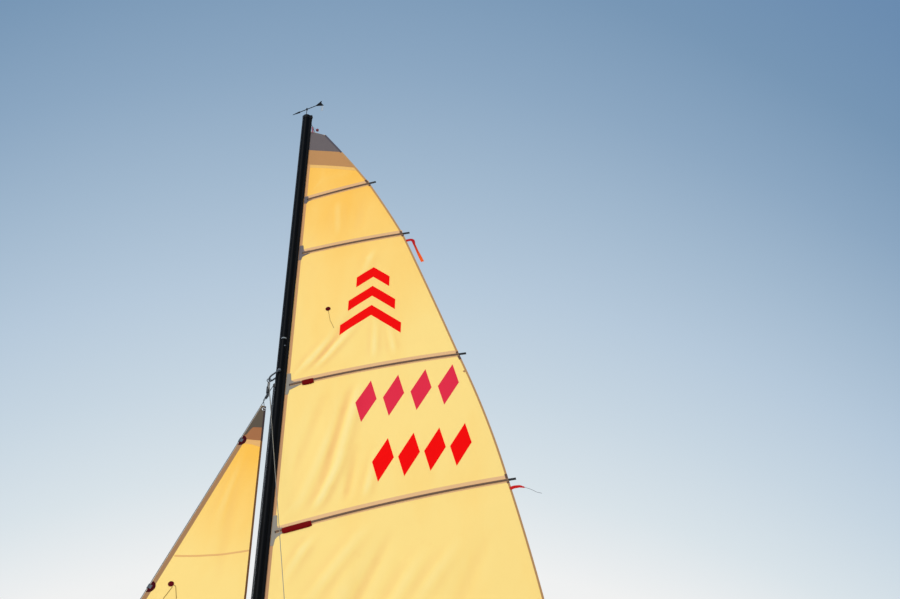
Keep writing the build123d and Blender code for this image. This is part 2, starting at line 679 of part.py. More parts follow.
def make_vane_stem():
    """The stem on the masthead, with the pin that the vane turns on."""
    low = MAST_TOP + CAP_HEIGHT
    stem_top = VANE_HEIGHT - VANE_HUB_HEIGHT / 2 - VANE_SEAT_GAP
    pin_top = VANE_HEIGHT + VANE_HUB_HEIGHT / 2 + VANE_PIN_END
    foot = upright(VANE_X, 0, low, low + VANE_FOOT_HEIGHT, VANE_FOOT_RADIUS)
    stem = upright(VANE_X, 0, low, stem_top, VANE_STEM_RADIUS)
    pin = upright(VANE_X, 0, stem_top, pin_top, VANE_PIN_RADIUS)
    return foot + stem + pin


def make_wind_vane():
    """The arrow that shows the wind: hub, rod, nose weight and notched tail fin."""
    hub = Pos(0, 0, -VANE_HUB_HEIGHT / 2) * extrude(Circle(VANE_HUB_RADIUS), VANE_HUB_HEIGHT)
    nose_x = VANE_NOSE - VANE_NOSE_LENGTH
    shaft = rod((-VANE_TAIL, 0, 0), (nose_x, 0, 0), VANE_ROD_RADIUS)
    nose = Plane(origin=(nose_x, 0, 0), z_dir=(1, 0, 0)) * extrude(
        Circle(VANE_NOSE_RADIUS), VANE_NOSE_LENGTH, taper=VANE_NOSE_TAPER)
    back = -VANE_TAIL - VANE_FIN_SWEEP
    fin_outline = make_face(Polyline(
        (-VANE_TAIL + VANE_FIN_LENGTH, 0), (-VANE_TAIL + VANE_FIN_TIP, VANE_FIN_HEIGHT),
        (-VANE_TAIL, VANE_FIN_HEIGHT), (-VANE_TAIL + VANE_FIN_NOTCH, VANE_FIN_NOTCH_HEIGHT),
        (back, -VANE_FIN_DROP), (back + VANE_FIN_TIP, -VANE_FIN_DROP), close=True))
    fin = Plane.XZ * Pos(0, 0, -VANE_FIN_THICKNESS / 2) * extrude(fin_outline, VANE_FIN_THICKNESS)
    bore = Pos(0, 0, -VANE_HUB_HEIGHT) * extrude(
        Circle(VANE_PIN_RADIUS + PIN_RUNNING_GAP), 2 * VANE_HUB_HEIGHT)
    vane = hub + shaft + nose + fin - bore
    return Pos(VANE_X, 0, VANE_HEIGHT) * Rot(0, 0, -VANE_YAW) * vane


# Standing rigging

def make_stay_link():
    """The link that hangs in the bail, with the pin that the stays are fastened to."""
    apex = (FRONT_BEAM_X, 0, BAIL_APEX_Z)
    inside = LINK_RING_RADIUS - LINK_ROD_RADIUS
    drop = inside - BAIL_ROD_RADIUS - LINK_GAP
    ring = Pos(apex[0], 0, apex[2] - drop) * Rot(90, 0, 0) * Torus(LINK_RING_RADIUS, LINK_ROD_RADIUS)
    top = apex[2] - drop - LINK_RING_RADIUS
    pin_z = apex[2] - STAY_PIN_DROP
    plate = block(apex[0], 0, STAY_TOP.Z, LINK_PLATE_WIDTH, LINK_PLATE, top - STAY_TOP.Z)
    plate += crosswise(apex[0], 0, STAY_TOP.Z, LINK_PLATE, LINK_PLATE_WIDTH / 2)
    pin = crosswise(apex[0], 0, pin_z, STAY_PIN_LENGTH, STAY_PIN_RADIUS)
    return ring + plate + pin - crosswise(apex[0], 0, STAY_TOP.Z, 2 * LINK_PLATE, STAY_PIN_RADIUS)


def wire_with_ends(start, end):
    """A wire with swaged sleeves at both ends."""
    start, end = Vector(start), Vector(end)
    along = (end - start).normalized()
    high, low = start + along * EYE_THICKNESS, end - along * EYE_THICKNESS
    wire = rod(high, low, WIRE_RADIUS)
    upper = rod(high, high + along * SWAGE_LENGTH, SWAGE_RADIUS)
    lower = rod(low, low - along * SWAGE_LENGTH, SWAGE_RADIUS)
    return wire + upper + lower


def make_shroud(side):
    """A shroud: eye on the stay pin, wire, and an adjuster strap pinned to its chainplate."""
    eye_y = side * (LINK_PLATE / 2 + STAY_GAP + EYE_THICKNESS / 2)
    top = Vector(FRONT_BEAM_X, eye_y, BAIL_APEX_Z - STAY_PIN_DROP)
    beside = PLATE_THICKNESS / 2 + ADJUSTER_GAP + ADJUSTER_THICKNESS / 2
    foot = Vector(CHAINPLATE_X, side * (CHAINPLATE_Y - beside), SEAT_Z + LUG_HEIGHT)
    along = (top - foot).normalized()
    strap_length = ADJUSTER_HOLES * ADJUSTER_PITCH
    across = Vector(0, 1, 0).cross(along).normalized()
    frame = Plane(origin=foot, x_dir=along, z_dir=along.cross(across))
    strap = frame * Pos(strap_length / 2 - ADJUSTER_WIDTH / 2, 0, 0) * Box(
        strap_length, ADJUSTER_WIDTH, ADJUSTER_THICKNESS)
    for index in range(1, ADJUSTER_HOLES - 2):
        strap -= frame * Pos(ADJUSTER_PITCH * index, 0, 0) * Cylinder(
            LUG_HOLE_RADIUS, 4 * ADJUSTER_THICKNESS)
    body = wire_with_ends(top, foot + along * (strap_length - ADJUSTER_PITCH * 1.5))
    eye = crosswise(top.X, top.Y, top.Z, EYE_THICKNESS, EYE_RADIUS)
    stay_pin = crosswise(top.X, 0, top.Z, STAY_PIN_LENGTH * 2, STAY_PIN_RADIUS)
    pin_length = PLATE_THICKNESS + beside + ADJUSTER_THICKNESS + CLEVIS_PIN_ENDS
    clevis_pin = crosswise(foot.X, side * (CHAINPLATE_Y - beside / 2), foot.Z, pin_length,
                           LUG_HOLE_RADIUS)
    return body + eye - stay_pin + strap + clevis_pin


def make_forestay():
    """The forestay: a fork on the link at the hounds, and a wire down to the bridle plate."""
    along = (STAY_FOOT - STAY_TOP).normalized()
    cheek_y = LINK_PLATE / 2 + STAY_GAP + FORK_CHEEK / 2
    pin_length = 2 * cheek_y + FORK_CHEEK + FORK_PIN_HEADS
    fork = crosswise(STAY_TOP.X, 0, STAY_TOP.Z, pin_length, STAY_PIN_RADIUS)
    frame = Plane(origin=STAY_TOP, x_dir=(0, 1, 0), z_dir=along)
    socket = STAY_TOP + along * FORK_REACH
    arm = FORK_REACH + FORK_SOCKET / 8
    for _, side in SIDES:
        fork += crosswise(STAY_TOP.X, side * cheek_y, STAY_TOP.Z, FORK_CHEEK, EYE_RADIUS)
        fork += frame * Pos(side * cheek_y, 0, arm / 2) * Box(FORK_CHEEK, 1.8 * EYE_RADIUS, arm)
    fork += rod(socket, socket + along * FORK_SOCKET, FORK_SOCKET_RADIUS)
    toe = STAY_FOOT + along * STAY_TOE
    wire = rod(socket + along * FORK_SOCKET / 2, toe, WIRE_RADIUS)
    sleeve = rod(toe - along * SWAGE_LENGTH, toe, STAY_SLEEVE_RADIUS)
    return fork + wire + sleeve - make_bridle_plate()


def make_bridle_plate():
    """The plate that joins the forestay to the two bridle wires."""
    low = STAY_FOOT.Z - BRIDLE_PLATE_RADIUS
    plate = Pos(STAY_FOOT.X, 0, low) * Rot(90, 0, 90) * Cylinder(
        BRIDLE_PLATE_RADIUS, BRIDLE_PLATE_THICKNESS)
    return plate


def make_bridle_wires():
    """The two wires that spread the forestay's pull to the bows, pinned to their tangs."""
    middle = Vector(STAY_FOOT.X, 0, STAY_FOOT.Z - BRIDLE_PLATE_RADIUS)
    wires = []
    for _, side in SIDES:
        reach = PLATE_THICKNESS / 2 + BRIDLE_PIN_REACH
        finish = Vector(TANG_X, side * (HULL_Y - reach), TANG_TOP)
        along = (finish - middle).normalized()
        start = middle + along * (BRIDLE_PLATE_RADIUS + STAY_GAP)
        wire = rod(start, finish, WIRE_RADIUS)
        wire += rod(start, start + along * SWAGE_LENGTH, SWAGE_RADIUS)
        wire += rod(finish - along * SWAGE_LENGTH, finish, SWAGE_RADIUS)
        pin_length = 2 * reach + BRIDLE_PIN_ENDS
        wires.append(wire + crosswise(TANG_X, side * HULL_Y, finish.Z, pin_length, LUG_HOLE_RADIUS))
    return wires


def make_lug_plates(x, y, z, height, tow_hole):
    """Deck plates with an upright lug, one to each side, some with a second hole for a tow line."""
    plates = []
    top = z + height
    for _, side in SIDES:
        base = block(x, side * y, z, PLATE_LENGTH, PLATE_BREADTH, PLATE_THICKNESS)
        base = fillet(base.edges().filter_by(Axis.Z), PLATE_THICKNESS)
        lug = block(x, side * y, z, PLATE_BREADTH, PLATE_THICKNESS, height)
        lug += crosswise(x, side * y, top, PLATE_THICKNESS, PLATE_BREADTH / 2)
        holes = crosswise(x, side * y, top, 2 * PLATE_THICKNESS, LUG_HOLE_RADIUS)
        if tow_hole:
            aft = x - TOW_HOLE_SETBACK
            lug += block((x + aft) / 2, side * y, top - TOW_EYE_RADIUS, TOW_HOLE_SETBACK,
                         PLATE_THICKNESS, 2 * TOW_EYE_RADIUS)
            lug += crosswise(aft, side * y, top, PLATE_THICKNESS, TOW_EYE_RADIUS)
            holes += crosswise(aft, side * y, top, 2 * PLATE_THICKNESS, TOW_HOLE_RADIUS)
        plates.append(base + lug - holes)
    return plates


# Sails

# deep enough to cut through either sail
CUT_REACH = 3 * (MAIN_CAMBER + JIB_CAMBER)


def arc_radius(chord, camber):
    """The radius of an arc of that chord and camber."""
    return (chord * chord / 4 + camber * camber) / (2 * camber)


def cambered(chord, camber, inner, outer, low, high):
    """A tall curved band that a sail is cut from: aft is -X, the hollow is to starboard."""
    radius = arc_radius(chord, camber)
    centre_x, centre_y = -chord / 2, camber - radius
    half = math.asin(chord / 2 / radius) * 1.03
    bounds = []
    for offset in (inner, outer):
        reach = radius + offset
        bounds.append([
            (centre_x + reach * math.sin(turn), centre_y + reach * math.cos(turn))
            for turn in (-half, 0, half)])
    (a, b, c), (d, e, f) = bounds
    face = make_face(Wire([ThreePointArc(a, b, c), Line(c, f), ThreePointArc(f, e, d), Line(d, a)]))
    return Pos(0, 0, low) * extrude(face, high - low)


def outline_prism(edges):
    """A sail's outline in the XZ plane, made thick enough to cut the curved band with."""
    face = make_face(Plane.XZ * Wire(edges))
    return extrude(face, CUT_REACH, both=True)


def bulged(start, end, bulge):
    """A shallow arc from point to point that bulges to its left by that much."""
    (ax, ay), (bx, by) = start, end
    length = math.hypot(bx - ax, by - ay)
    left = (-(by - ay) / length, (bx - ax) / length)
    middle = ((ax + bx) / 2 + left[0] * bulge, (ay + by) / 2 + left[1] * bulge)
    return ThreePointArc(start, middle, end)


def make_mainsail():
    """The mainsail: cambered cloth with a roached leech and a bolt rope in the mast track."""
    leech = [(*HEAD, 0.0)]
    for drop, aft, rise, bulge in BATTENS:
        leech.append((aft, HEAD_LUFF_HEIGHT - drop + rise, bulge))
    leech.append((*CLEW, FOOT_BULGE))
    edges = [Line((0, TACK_HEIGHT), (0, HEAD_LUFF_HEIGHT)),
             Line((0, HEAD_LUFF_HEIGHT), (-HEAD[0], HEAD[1]))]
    for (ax, ay, _), (bx, by, bulge) in zip(leech, leech[1:]):
        edges.append(bulged((-ax, ay), (-bx, by), -bulge))
    edges.append(bulged((-CLEW[0], CLEW[1]), (0, TACK_HEIGHT), -FOOT_BULGE))
    low = TACK_HEIGHT - CUT_REACH
    band = cambered(MAIN_CHORD, MAIN_CAMBER, -CLOTH / 2, CLOTH / 2, low, HEAD_LUFF_HEIGHT)
    cloth = band & outline_prism(edges)
    rope = upright(0, 0, TACK_HEIGHT, HEAD_LUFF_HEIGHT, ROPE_RADIUS)
    return Pos(TRACK_CENTRE, 0, 0) * (cloth + rope)


def make_batten(luff_height, leech_aft, leech_height):
    """A full-length batten in its pocket, on the port face of the mainsail."""
    length = math.hypot(leech_aft, leech_height - luff_height)
    slope = math.atan2(leech_height - luff_height, leech_aft)
    strip = Pos(-(BATTEN_START + length + BATTEN_TIP) / 2, 0) * Rectangle(
        length + BATTEN_TIP - BATTEN_START, BATTEN_WIDTH)
    turned = Rot(0, 0, -math.degrees(slope)) * strip
    prism = extrude(Plane.XZ * Pos(0, luff_height) * turned, CUT_REACH, both=True)
    band = cambered(MAIN_CHORD, MAIN_CAMBER, CLOTH / 2, CLOTH / 2 + BATTEN_THICKNESS,
                    luff_height - CUT_REACH, leech_height + CUT_REACH)
    return Pos(TRACK_CENTRE, 0, 0) * (band & prism)


def make_jib():
    """The jib: a cambered triangle of cloth with a hollow leech, laid out from its stay."""
    points = [(-JIB_LUFF_GAP, -JIB_HEAD[1]), (-JIB_HEAD[0], -JIB_HEAD[1] - JIB_HEAD_FALL),
              (-JIB_LEECH[0], -JIB_LEECH[1]), (-JIB_CLEW[0], -JIB_CLEW[1]),
              (-JIB_LUFF_GAP, -JIB_TACK_DOWN)]
    edges = [Line(points[index], points[index + 1]) for index in range(3)]
    edges.append(bulged(points[3], points[4], -JIB_FOOT_BULGE))
    edges.append(Line(points[4], points[0]))
    low = -JIB_TACK_DOWN - CUT_REACH
    band = cambered(JIB_CHORD, JIB_CAMBER, -CLOTH / 2, CLOTH / 2, low, 0)
    return band & outline_prism(edges)


def make_jib_hanks():
    """Snap hanks that hold the jib's luff to the forestay."""
    hanks = []
    for index in range(HANK_COUNT):
        down = HANK_FIRST + index * HANK_PITCH
        barrel = upright(0, 0, -down - HANK_LENGTH / 2, -down + HANK_LENGTH / 2, HANK_RADIUS)
        jaw = block(-JIB_LUFF_GAP - HANK_JAW_REACH, 0, -down - HANK_LENGTH / 2 + HANK_JAW_INSET,
                    HANK_JAW_LENGTH, HANK_JAW_THICKNESS, HANK_LENGTH - 2 * HANK_JAW_INSET)
        bore = upright(0, 0, -down - HANK_LENGTH, -down + HANK_LENGTH, WIRE_RADIUS + HANK_GAP)
        band = cambered(JIB_CHORD, JIB_CAMBER, -CLOTH / 2, CLOTH / 2,
                        -down - HANK_LENGTH, -down + HANK_LENGTH)
        slot = block(-JIB_LUFF_GAP - 2 * HANK_JAW_LENGTH, 0, -down - HANK_LENGTH,
                     4 * HANK_JAW_LENGTH, 4 * HANK_JAW_THICKNESS, 2 * HANK_LENGTH)
        hanks.append(barrel + jaw - bore - (band & slot))
    return hanks


# Boom and gooseneck, in the mast's frame

def make_boom():
    """The boom tube."""
    outside = Ellipse(BOOM_HALF_BREADTH, BOOM_HALF_HEIGHT)
    inside = Ellipse(BOOM_HALF_BREADTH - BOOM_WALL, BOOM_HALF_HEIGHT - BOOM_WALL)
    start = TRACK_CENTRE - BOOM_START
    length = BOOM_END - BOOM_START
    plane = Plane(origin=(start, 0, BOOM_HEIGHT), x_dir=(0, 1, 0), z_dir=(-1, 0, 0))
    return plane * extrude(outside - inside, length)


def make_boom_fittings():
    """The boom's two end castings: the gooseneck tongue in front, the outhaul plug behind."""
    start = TRACK_CENTRE - BOOM_START
    bore = Ellipse(BOOM_HALF_BREADTH - BOOM_WALL, BOOM_HALF_HEIGHT - BOOM_WALL)
    front = Plane(origin=(start + TONGUE_RIM, 0, BOOM_HEIGHT), x_dir=(0, 1, 0), z_dir=(-1, 0, 0))
    plug = front * extrude(bore, TONGUE_PLUG)
    rim = front * extrude(Ellipse(BOOM_HALF_BREADTH, BOOM_HALF_HEIGHT), TONGUE_RIM)
    low = BOOM_HEIGHT - GOOSENECK_TONGUE / 2
    nose = upright(TRACK_CENTRE, 0, low, low + GOOSENECK_TONGUE, GOOSENECK_NOSE_RADIUS)
    neck_length = BOOM_START - TONGUE_RIM
    neck = block(TRACK_CENTRE - neck_length / 2, 0, low, neck_length,
                 2 * GOOSENECK_NOSE_RADIUS, GOOSENECK_TONGUE)
    hole = upright(TRACK_CENTRE, 0, 0, 2 * BOOM_HEIGHT, GOOSENECK_PIN_RADIUS + PIN_RUNNING_GAP)
    end = TRACK_CENTRE - BOOM_END
    back = Plane(origin=(end, 0, BOOM_HEIGHT), x_dir=(0, 1, 0), z_dir=(-1, 0, 0))
    cap = back * extrude(Ellipse(BOOM_HALF_BREADTH, BOOM_HALF_HEIGHT), BOOM_CAP)
    tail_plug = back * Pos(0, 0, -BOOM_CAP_PLUG) * extrude(bore, BOOM_CAP_PLUG)
    lug_x = end - BOOM_CAP - BOOM_LUG_RADIUS
    lug = block(end - (BOOM_CAP + BOOM_LUG_RADIUS) / 2, 0, BOOM_HEIGHT - BOOM_LUG_RADIUS,
                BOOM_CAP + BOOM_LUG_RADIUS, BOOM_LUG_THICKNESS, 2 * BOOM_LUG_RADIUS)
    lug += crosswise(lug_x, 0, BOOM_HEIGHT, BOOM_LUG_THICKNESS, BOOM_LUG_RADIUS)
    lug_hole = crosswise(lug_x, 0, BOOM_HEIGHT, 2 * BOOM_LUG_THICKNESS, SHEET_HOLE_RADIUS)
    return plug + rim + nose + neck - hole, cap + tail_plug + lug - lug_hole


def make_clew_slider():
    """The slider on the boom that holds the clew."""
    x = TRACK_CENTRE - CLEW[0] + SLIDER_LENGTH / 2
    top = BOOM_HEIGHT + BOOM_HALF_HEIGHT
    base = block(x, 0, top - SLIDER_WRAP, SLIDER_LENGTH, SLIDER_WIDTH, SLIDER_WRAP + SLIDER_BASE)
    lug = block(x, CAMBER_AT_CLEW, top, SLIDER_LENGTH / 2, SLIDER_LUG_THICKNESS,
                CLEW[1] - top + SLIDER_LUG_ABOVE_CLEW)
    core = Plane(origin=(x + SLIDER_LENGTH, 0, BOOM_HEIGHT), x_dir=(0, 1, 0), z_dir=(-1, 0, 0))
    boom = core * extrude(Ellipse(BOOM_HALF_BREADTH, BOOM_HALF_HEIGHT), 3 * SLIDER_LENGTH)
    return base + lug - boom - make_mainsail()


def make_gooseneck():
    """The gooseneck bracket on the mast: a collar with two ears that hold the pin."""
    half = GOOSENECK_TONGUE / 2 + GOOSENECK_GAP
    bottom = BOOM_HEIGHT - half - GOOSENECK_EAR
    height = 2 * (half + GOOSENECK_EAR)
    ear_radius = GOOSENECK_NOSE_RADIUS + GOOSENECK_EAR_MARGIN
    collar = Ellipse(MAST_HALF_CHORD + GOOSENECK_COLLAR, MAST_HALF_BREADTH + GOOSENECK_COLLAR)
    bracket = Pos(MAST_CENTRE, 0, bottom) * extrude(collar, height)
    bracket = bracket & block(MAST_CENTRE + MAST_HALF_CHORD, 0, 0, 2 * MAST_HALF_CHORD,
                              4 * MAST_HALF_BREADTH, 2 * BOOM_HEIGHT)
    for low in (bottom, BOOM_HEIGHT + half):
        bracket += upright(TRACK_CENTRE, 0, low, low + GOOSENECK_EAR, ear_radius)
        bracket += block((TRACK_CENTRE + MAST_CENTRE) / 2, 0, low, MAST_CENTRE - TRACK_CENTRE,
                         2 * ear_radius, GOOSENECK_EAR)
        bracket += Pos(MAST_CENTRE, 0, low) * extrude(collar, GOOSENECK_EAR)
    mast = Pos(MAST_CENTRE, 0, 0) * extrude(
        Ellipse(MAST_HALF_CHORD, MAST_HALF_BREADTH), 2 * BOOM_HEIGHT)
    pin = upright(TRACK_CENTRE, 0, bottom - GOOSENECK_PIN_HEAD, bottom + height + GOOSENECK_PIN_END,
                  GOOSENECK_PIN_RADIUS)
    return bracket - mast + pin


# Traveller

def make_traveller_track():
    """The track bar on top of the rear beam."""
    top = BEAM_Z + BEAM_RADIUS
    bar = block(REAR_BEAM_X, 0, top - TRACK_BAR_WRAP, TRACK_BAR_WIDTH, TRACK_BAR_LENGTH,
                TRACK_BAR_HEIGHT + TRACK_BAR_WRAP)
    return bar - beam_core(REAR_BEAM_X)


def make_traveller_car():
    """The car that slides along the track."""
    top = BEAM_Z + BEAM_RADIUS
    roof = top + TRACK_BAR_HEIGHT + CAR_GAP
    low = top + TRACK_BAR_HEIGHT - CAR_DROP
    high = roof + CAR_SKIN
    inside = TRACK_BAR_WIDTH + 2 * CAR_GAP
    body = block(REAR_BEAM_X, 0, low, inside + 2 * CAR_SKIN, CAR_LENGTH, high - low)
    body = fillet(body.edges().filter_by(Axis.Z), CAR_ROUND)
    channel = block(REAR_BEAM_X, 0, 0, inside, 2 * CAR_LENGTH, roof)
    lug_x = REAR_BEAM_X + CAR_LUG_REACH
    lug_z = high - CAR_LUG_RADIUS
    web_low = lug_z - CAR_LUG_RADIUS / 3
    lug = block((REAR_BEAM_X + lug_x) / 2, 0, web_low, CAR_LUG_REACH, CAR_SKIN, high - web_low)
    lug += crosswise(lug_x, 0, lug_z, CAR_SKIN, CAR_LUG_RADIUS)
    lug -= block(REAR_BEAM_X, 0, 0, inside, CAR_LENGTH, high)
    hole = crosswise(lug_x, 0, lug_z, 2 * CAR_SKIN, SHEET_HOLE_RADIUS)
    return body + lug - channel - hole


# Rudders

def make_gudgeons(side):
    """Two gudgeons on a transom, with the rudder pin through them."""
    y = side * HULL_Y
    pieces = upright(RUDDER_PIN_X, y, GUDGEON_LOW_Z - RUDDER_PIN_END,
                     GUDGEON_HIGH_Z + GUDGEON_HEIGHT + RUDDER_PIN_HEAD, RUDDER_PIN_RADIUS)
    for z in (GUDGEON_LOW_Z, GUDGEON_HIGH_Z):
        pieces += upright(RUDDER_PIN_X, y, z, z + GUDGEON_HEIGHT, GUDGEON_RADIUS)
        pieces += block(TRANSOM_X - RUDDER_PIN_SETBACK / 2, y, z, RUDDER_PIN_SETBACK, GUDGEON_WEB,
                        GUDGEON_HEIGHT)
        plate_low = z + (GUDGEON_HEIGHT - GUDGEON_PLATE_HEIGHT) / 2
        pieces += block(TRANSOM_X - GUDGEON_PLATE / 2, y, plate_low, GUDGEON_PLATE,
                        GUDGEON_PLATE_BREADTH, GUDGEON_PLATE_HEIGHT)
    return pieces


def make_rudder_head(side):
    """The rudder casting: a tube on the pin, two cheeks round the blade, and the tiller's root."""
    y = side * HULL_Y
    low = GUDGEON_LOW_Z + GUDGEON_HEIGHT + HEAD_GAP
    high = GUDGEON_HIGH_Z - HEAD_GAP
    tube = upright(RUDDER_PIN_X, y, low, high, HEAD_TUBE_RADIUS)
    cheek_y = BLADE_THICKNESS / 2 + BLADE_GAP + CHEEK_THICKNESS / 2
    neck_back = RUDDER_PIN_X - CHEEK_NECK
    outline = make_face(Polyline(
        (RUDDER_PIN_X, low), (RUDDER_PIN_X, high), (neck_back, high),
        (BLADE_PIVOT_X - CHEEK_TOP, BLADE_PIVOT_Z + CHEEK_NOSE),
        (BLADE_PIVOT_X - CHEEK_NOSE, BLADE_PIVOT_Z - CHEEK_HEEL_RISE),
        (BLADE_PIVOT_X - CHEEK_HEEL, BLADE_PIVOT_Z - CHEEK_NOSE), (neck_back, low), close=True))
    slab = extrude(Plane.XZ * outline, cheek_y + CHEEK_THICKNESS / 2, both=True)
    slot_length = 2 * BLADE_PIVOT_SETBACK
    slot_front = RUDDER_PIN_X - HEAD_TUBE_RADIUS - CHEEK_SLOT_SETBACK
    slot = block(slot_front - slot_length / 2, 0, 0, slot_length,
                 BLADE_THICKNESS + 2 * BLADE_GAP, 2 * high)
    neck_x = RUDDER_PIN_X - TILLER_SETBACK
    neck = upright(neck_x, 0, high - TILLER_NECK_SEAT, TILLER_Z, HEAD_TUBE_RADIUS)
    half_socket = TILLER_SOCKET / 2
    knuckle = rod((neck_x - half_socket, 0, TILLER_Z), (neck_x + half_socket, 0, TILLER_Z),
                  TILLER_RADIUS + TILLER_SOCKET_WALL)
    across = 2 * cheek_y + CHEEK_THICKNESS
    bridge = block(neck_x, 0, high - CHEEK_BRIDGE, 2 * TILLER_SETBACK, across, CHEEK_BRIDGE)
    bolt = crosswise(BLADE_PIVOT_X, 0, BLADE_PIVOT_Z, across + 2 * BLADE_BOLT_ENDS,
                     BLADE_BOLT_RADIUS)
    hole = upright(RUDDER_PIN_X, 0, 0, 2 * high, RUDDER_PIN_RADIUS + PIN_RUNNING_GAP)
    collar_top = upright(RUDDER_PIN_X, 0, high, TILLER_Z - TILLER_RADIUS,
                         GUDGEON_RADIUS + HEAD_COLLAR_GAP)
    head = slab - slot + bridge + neck - collar_top + Pos(0, -y, 0) * tube
    return Pos(0, y, 0) * (head + knuckle + bolt - hole)


def make_tiller(side):
    """A tiller tube with the pin at its front end that carries the crossbar."""
    y = side * HULL_Y
    start = (RUDDER_PIN_X - TILLER_SETBACK + TILLER_SOCKET / 2, y, TILLER_Z)
    tube = rod(start, (TILLER_END_X, y, TILLER_Z), TILLER_RADIUS)
    half = TILLER_RADIUS + TILLER_END_LIFT
    end = upright(TILLER_END_X, y, TILLER_Z - half, TILLER_Z + half,
                  TILLER_RADIUS + TILLER_END_MARGIN)
    pin_top = CROSSBAR_Z + CROSSBAR_EYE_HEIGHT / 2 + TILLER_PIN_END
    end += upright(TILLER_END_X, y, TILLER_Z, pin_top, TILLER_PIN_RADIUS)
    return tube + end


def make_rudder_blade(side):
    """A kick-up rudder blade, built hanging down and then swung up to its parked angle."""
    front = BLADE_HEEL * 0.75
    rear = front - BLADE_CHORD
    low = -BLADE_LENGTH
    tip = (front - BLADE_CHORD * 0.55, low)
    shoulder = low + BLADE_TIP
    neck = (-BLADE_HEEL * 0.6, BLADE_BACK)
    outline = Wire([
        Line((front, BLADE_FRONT), (front, shoulder)),
        ThreePointArc((front, shoulder), (BLADE_HEEL * 0.4, low + BLADE_TIP_ROUND), tip),
        ThreePointArc(tip, (front - BLADE_CHORD * 0.9, low + BLADE_TIP_ROUND), (rear, shoulder)),
        Line((rear, shoulder), (rear, -BLADE_SHOULDER)),
        ThreePointArc((rear, -BLADE_SHOULDER), (-BLADE_HEEL * 0.85, -BLADE_NECK), neck),
        ThreePointArc(neck, (0, BLADE_HEEL * 0.9), (front, BLADE_FRONT)),
    ])
    plank = extrude(Plane.XZ * make_face(outline), BLADE_THICKNESS / 2, both=True)
    bore = crosswise(0, 0, 0, 3 * BLADE_THICKNESS, BLADE_BOLT_RADIUS + PIN_RUNNING_GAP)
    edges = plank.edges().filter_by(
        lambda edge: edge.center().Z < -BLADE_SHOULDER and edge.center().Y != 0)
    plank = fillet(edges, BLADE_EDGE_ROUND)
    pivot = Pos(BLADE_PIVOT_X, side * HULL_Y, BLADE_PIVOT_Z)
    return pivot * Rot(0, BLADE_UP_ANGLE, 0) * (plank - bore)


def make_crossbar():
    """The bar that joins the tillers: its starboard eye is the linkage's open pivot."""
    bar = crosswise(TILLER_END_X, 0, CROSSBAR_Z, HULL_SPACING - 2 * CROSSBAR_SEAT, CROSSBAR_RADIUS)
    low = CROSSBAR_Z - CROSSBAR_EYE_HEIGHT / 2
    high = CROSSBAR_Z + CROSSBAR_EYE_HEIGHT / 2
    for _, side in SIDES:
        bar += upright(TILLER_END_X, side * HULL_Y, low, high, CROSSBAR_EYE_RADIUS)
    for (_, side), gap in zip(SIDES, (PIN_RUNNING_GAP, OPEN_PIVOT_GAP)):
        bar -= upright(TILLER_END_X, side * HULL_Y, 0, 2 * high, TILLER_PIN_RADIUS + gap)
    pin_top = EXTENSION_Z + EXTENSION_RADIUS + EXTENSION_PIN_END
    return bar + upright(TILLER_END_X, 0, CROSSBAR_Z, pin_top, TILLER_PIN_RADIUS)


def make_tiller_extension():
    """The hand tube that reaches forward over the trampoline."""
    half = EXTENSION_RADIUS + EXTENSION_EYE_MARGIN
    end_x = TILLER_END_X + EXTENSION_LENGTH
    eye = upright(TILLER_END_X, 0, EXTENSION_Z - half, EXTENSION_Z + half, CROSSBAR_EYE_RADIUS)
    tube = rod((TILLER_END_X + CROSSBAR_EYE_RADIUS / 2, 0, EXTENSION_Z), (end_x, 0, EXTENSION_Z),
               EXTENSION_RADIUS)
    grip = rod((end_x - GRIP_LENGTH, 0, EXTENSION_Z), (end_x, 0, EXTENSION_Z),
               EXTENSION_RADIUS + GRIP_WALL)
    hole = upright(TILLER_END_X, 0, 0, 2 * EXTENSION_Z, TILLER_PIN_RADIUS + PIN_RUNNING_GAP)
    return eye + tube + grip - hole


def camber_at(chord, camber, aft):
    """How far an arc stands off its chord at a distance from its front end."""
    radius = arc_radius(chord, camber)
    return math.sqrt(radius * radius - (aft - chord / 2) ** 2) - (radius - camber)


CAMBER_AT_CLEW = camber_at(MAIN_CHORD, MAIN_CAMBER, CLEW[0])


def solids_of(shapes):
    """One compound of the solids in a shape or a list of shapes."""
    shapes = shapes if isinstance(shapes, (list, tuple)) else [shapes]
    solids = [solid for shape in shapes for solid in shape.solids()]
    return solids[0] if len(solids) == 1 else Compound(solids)


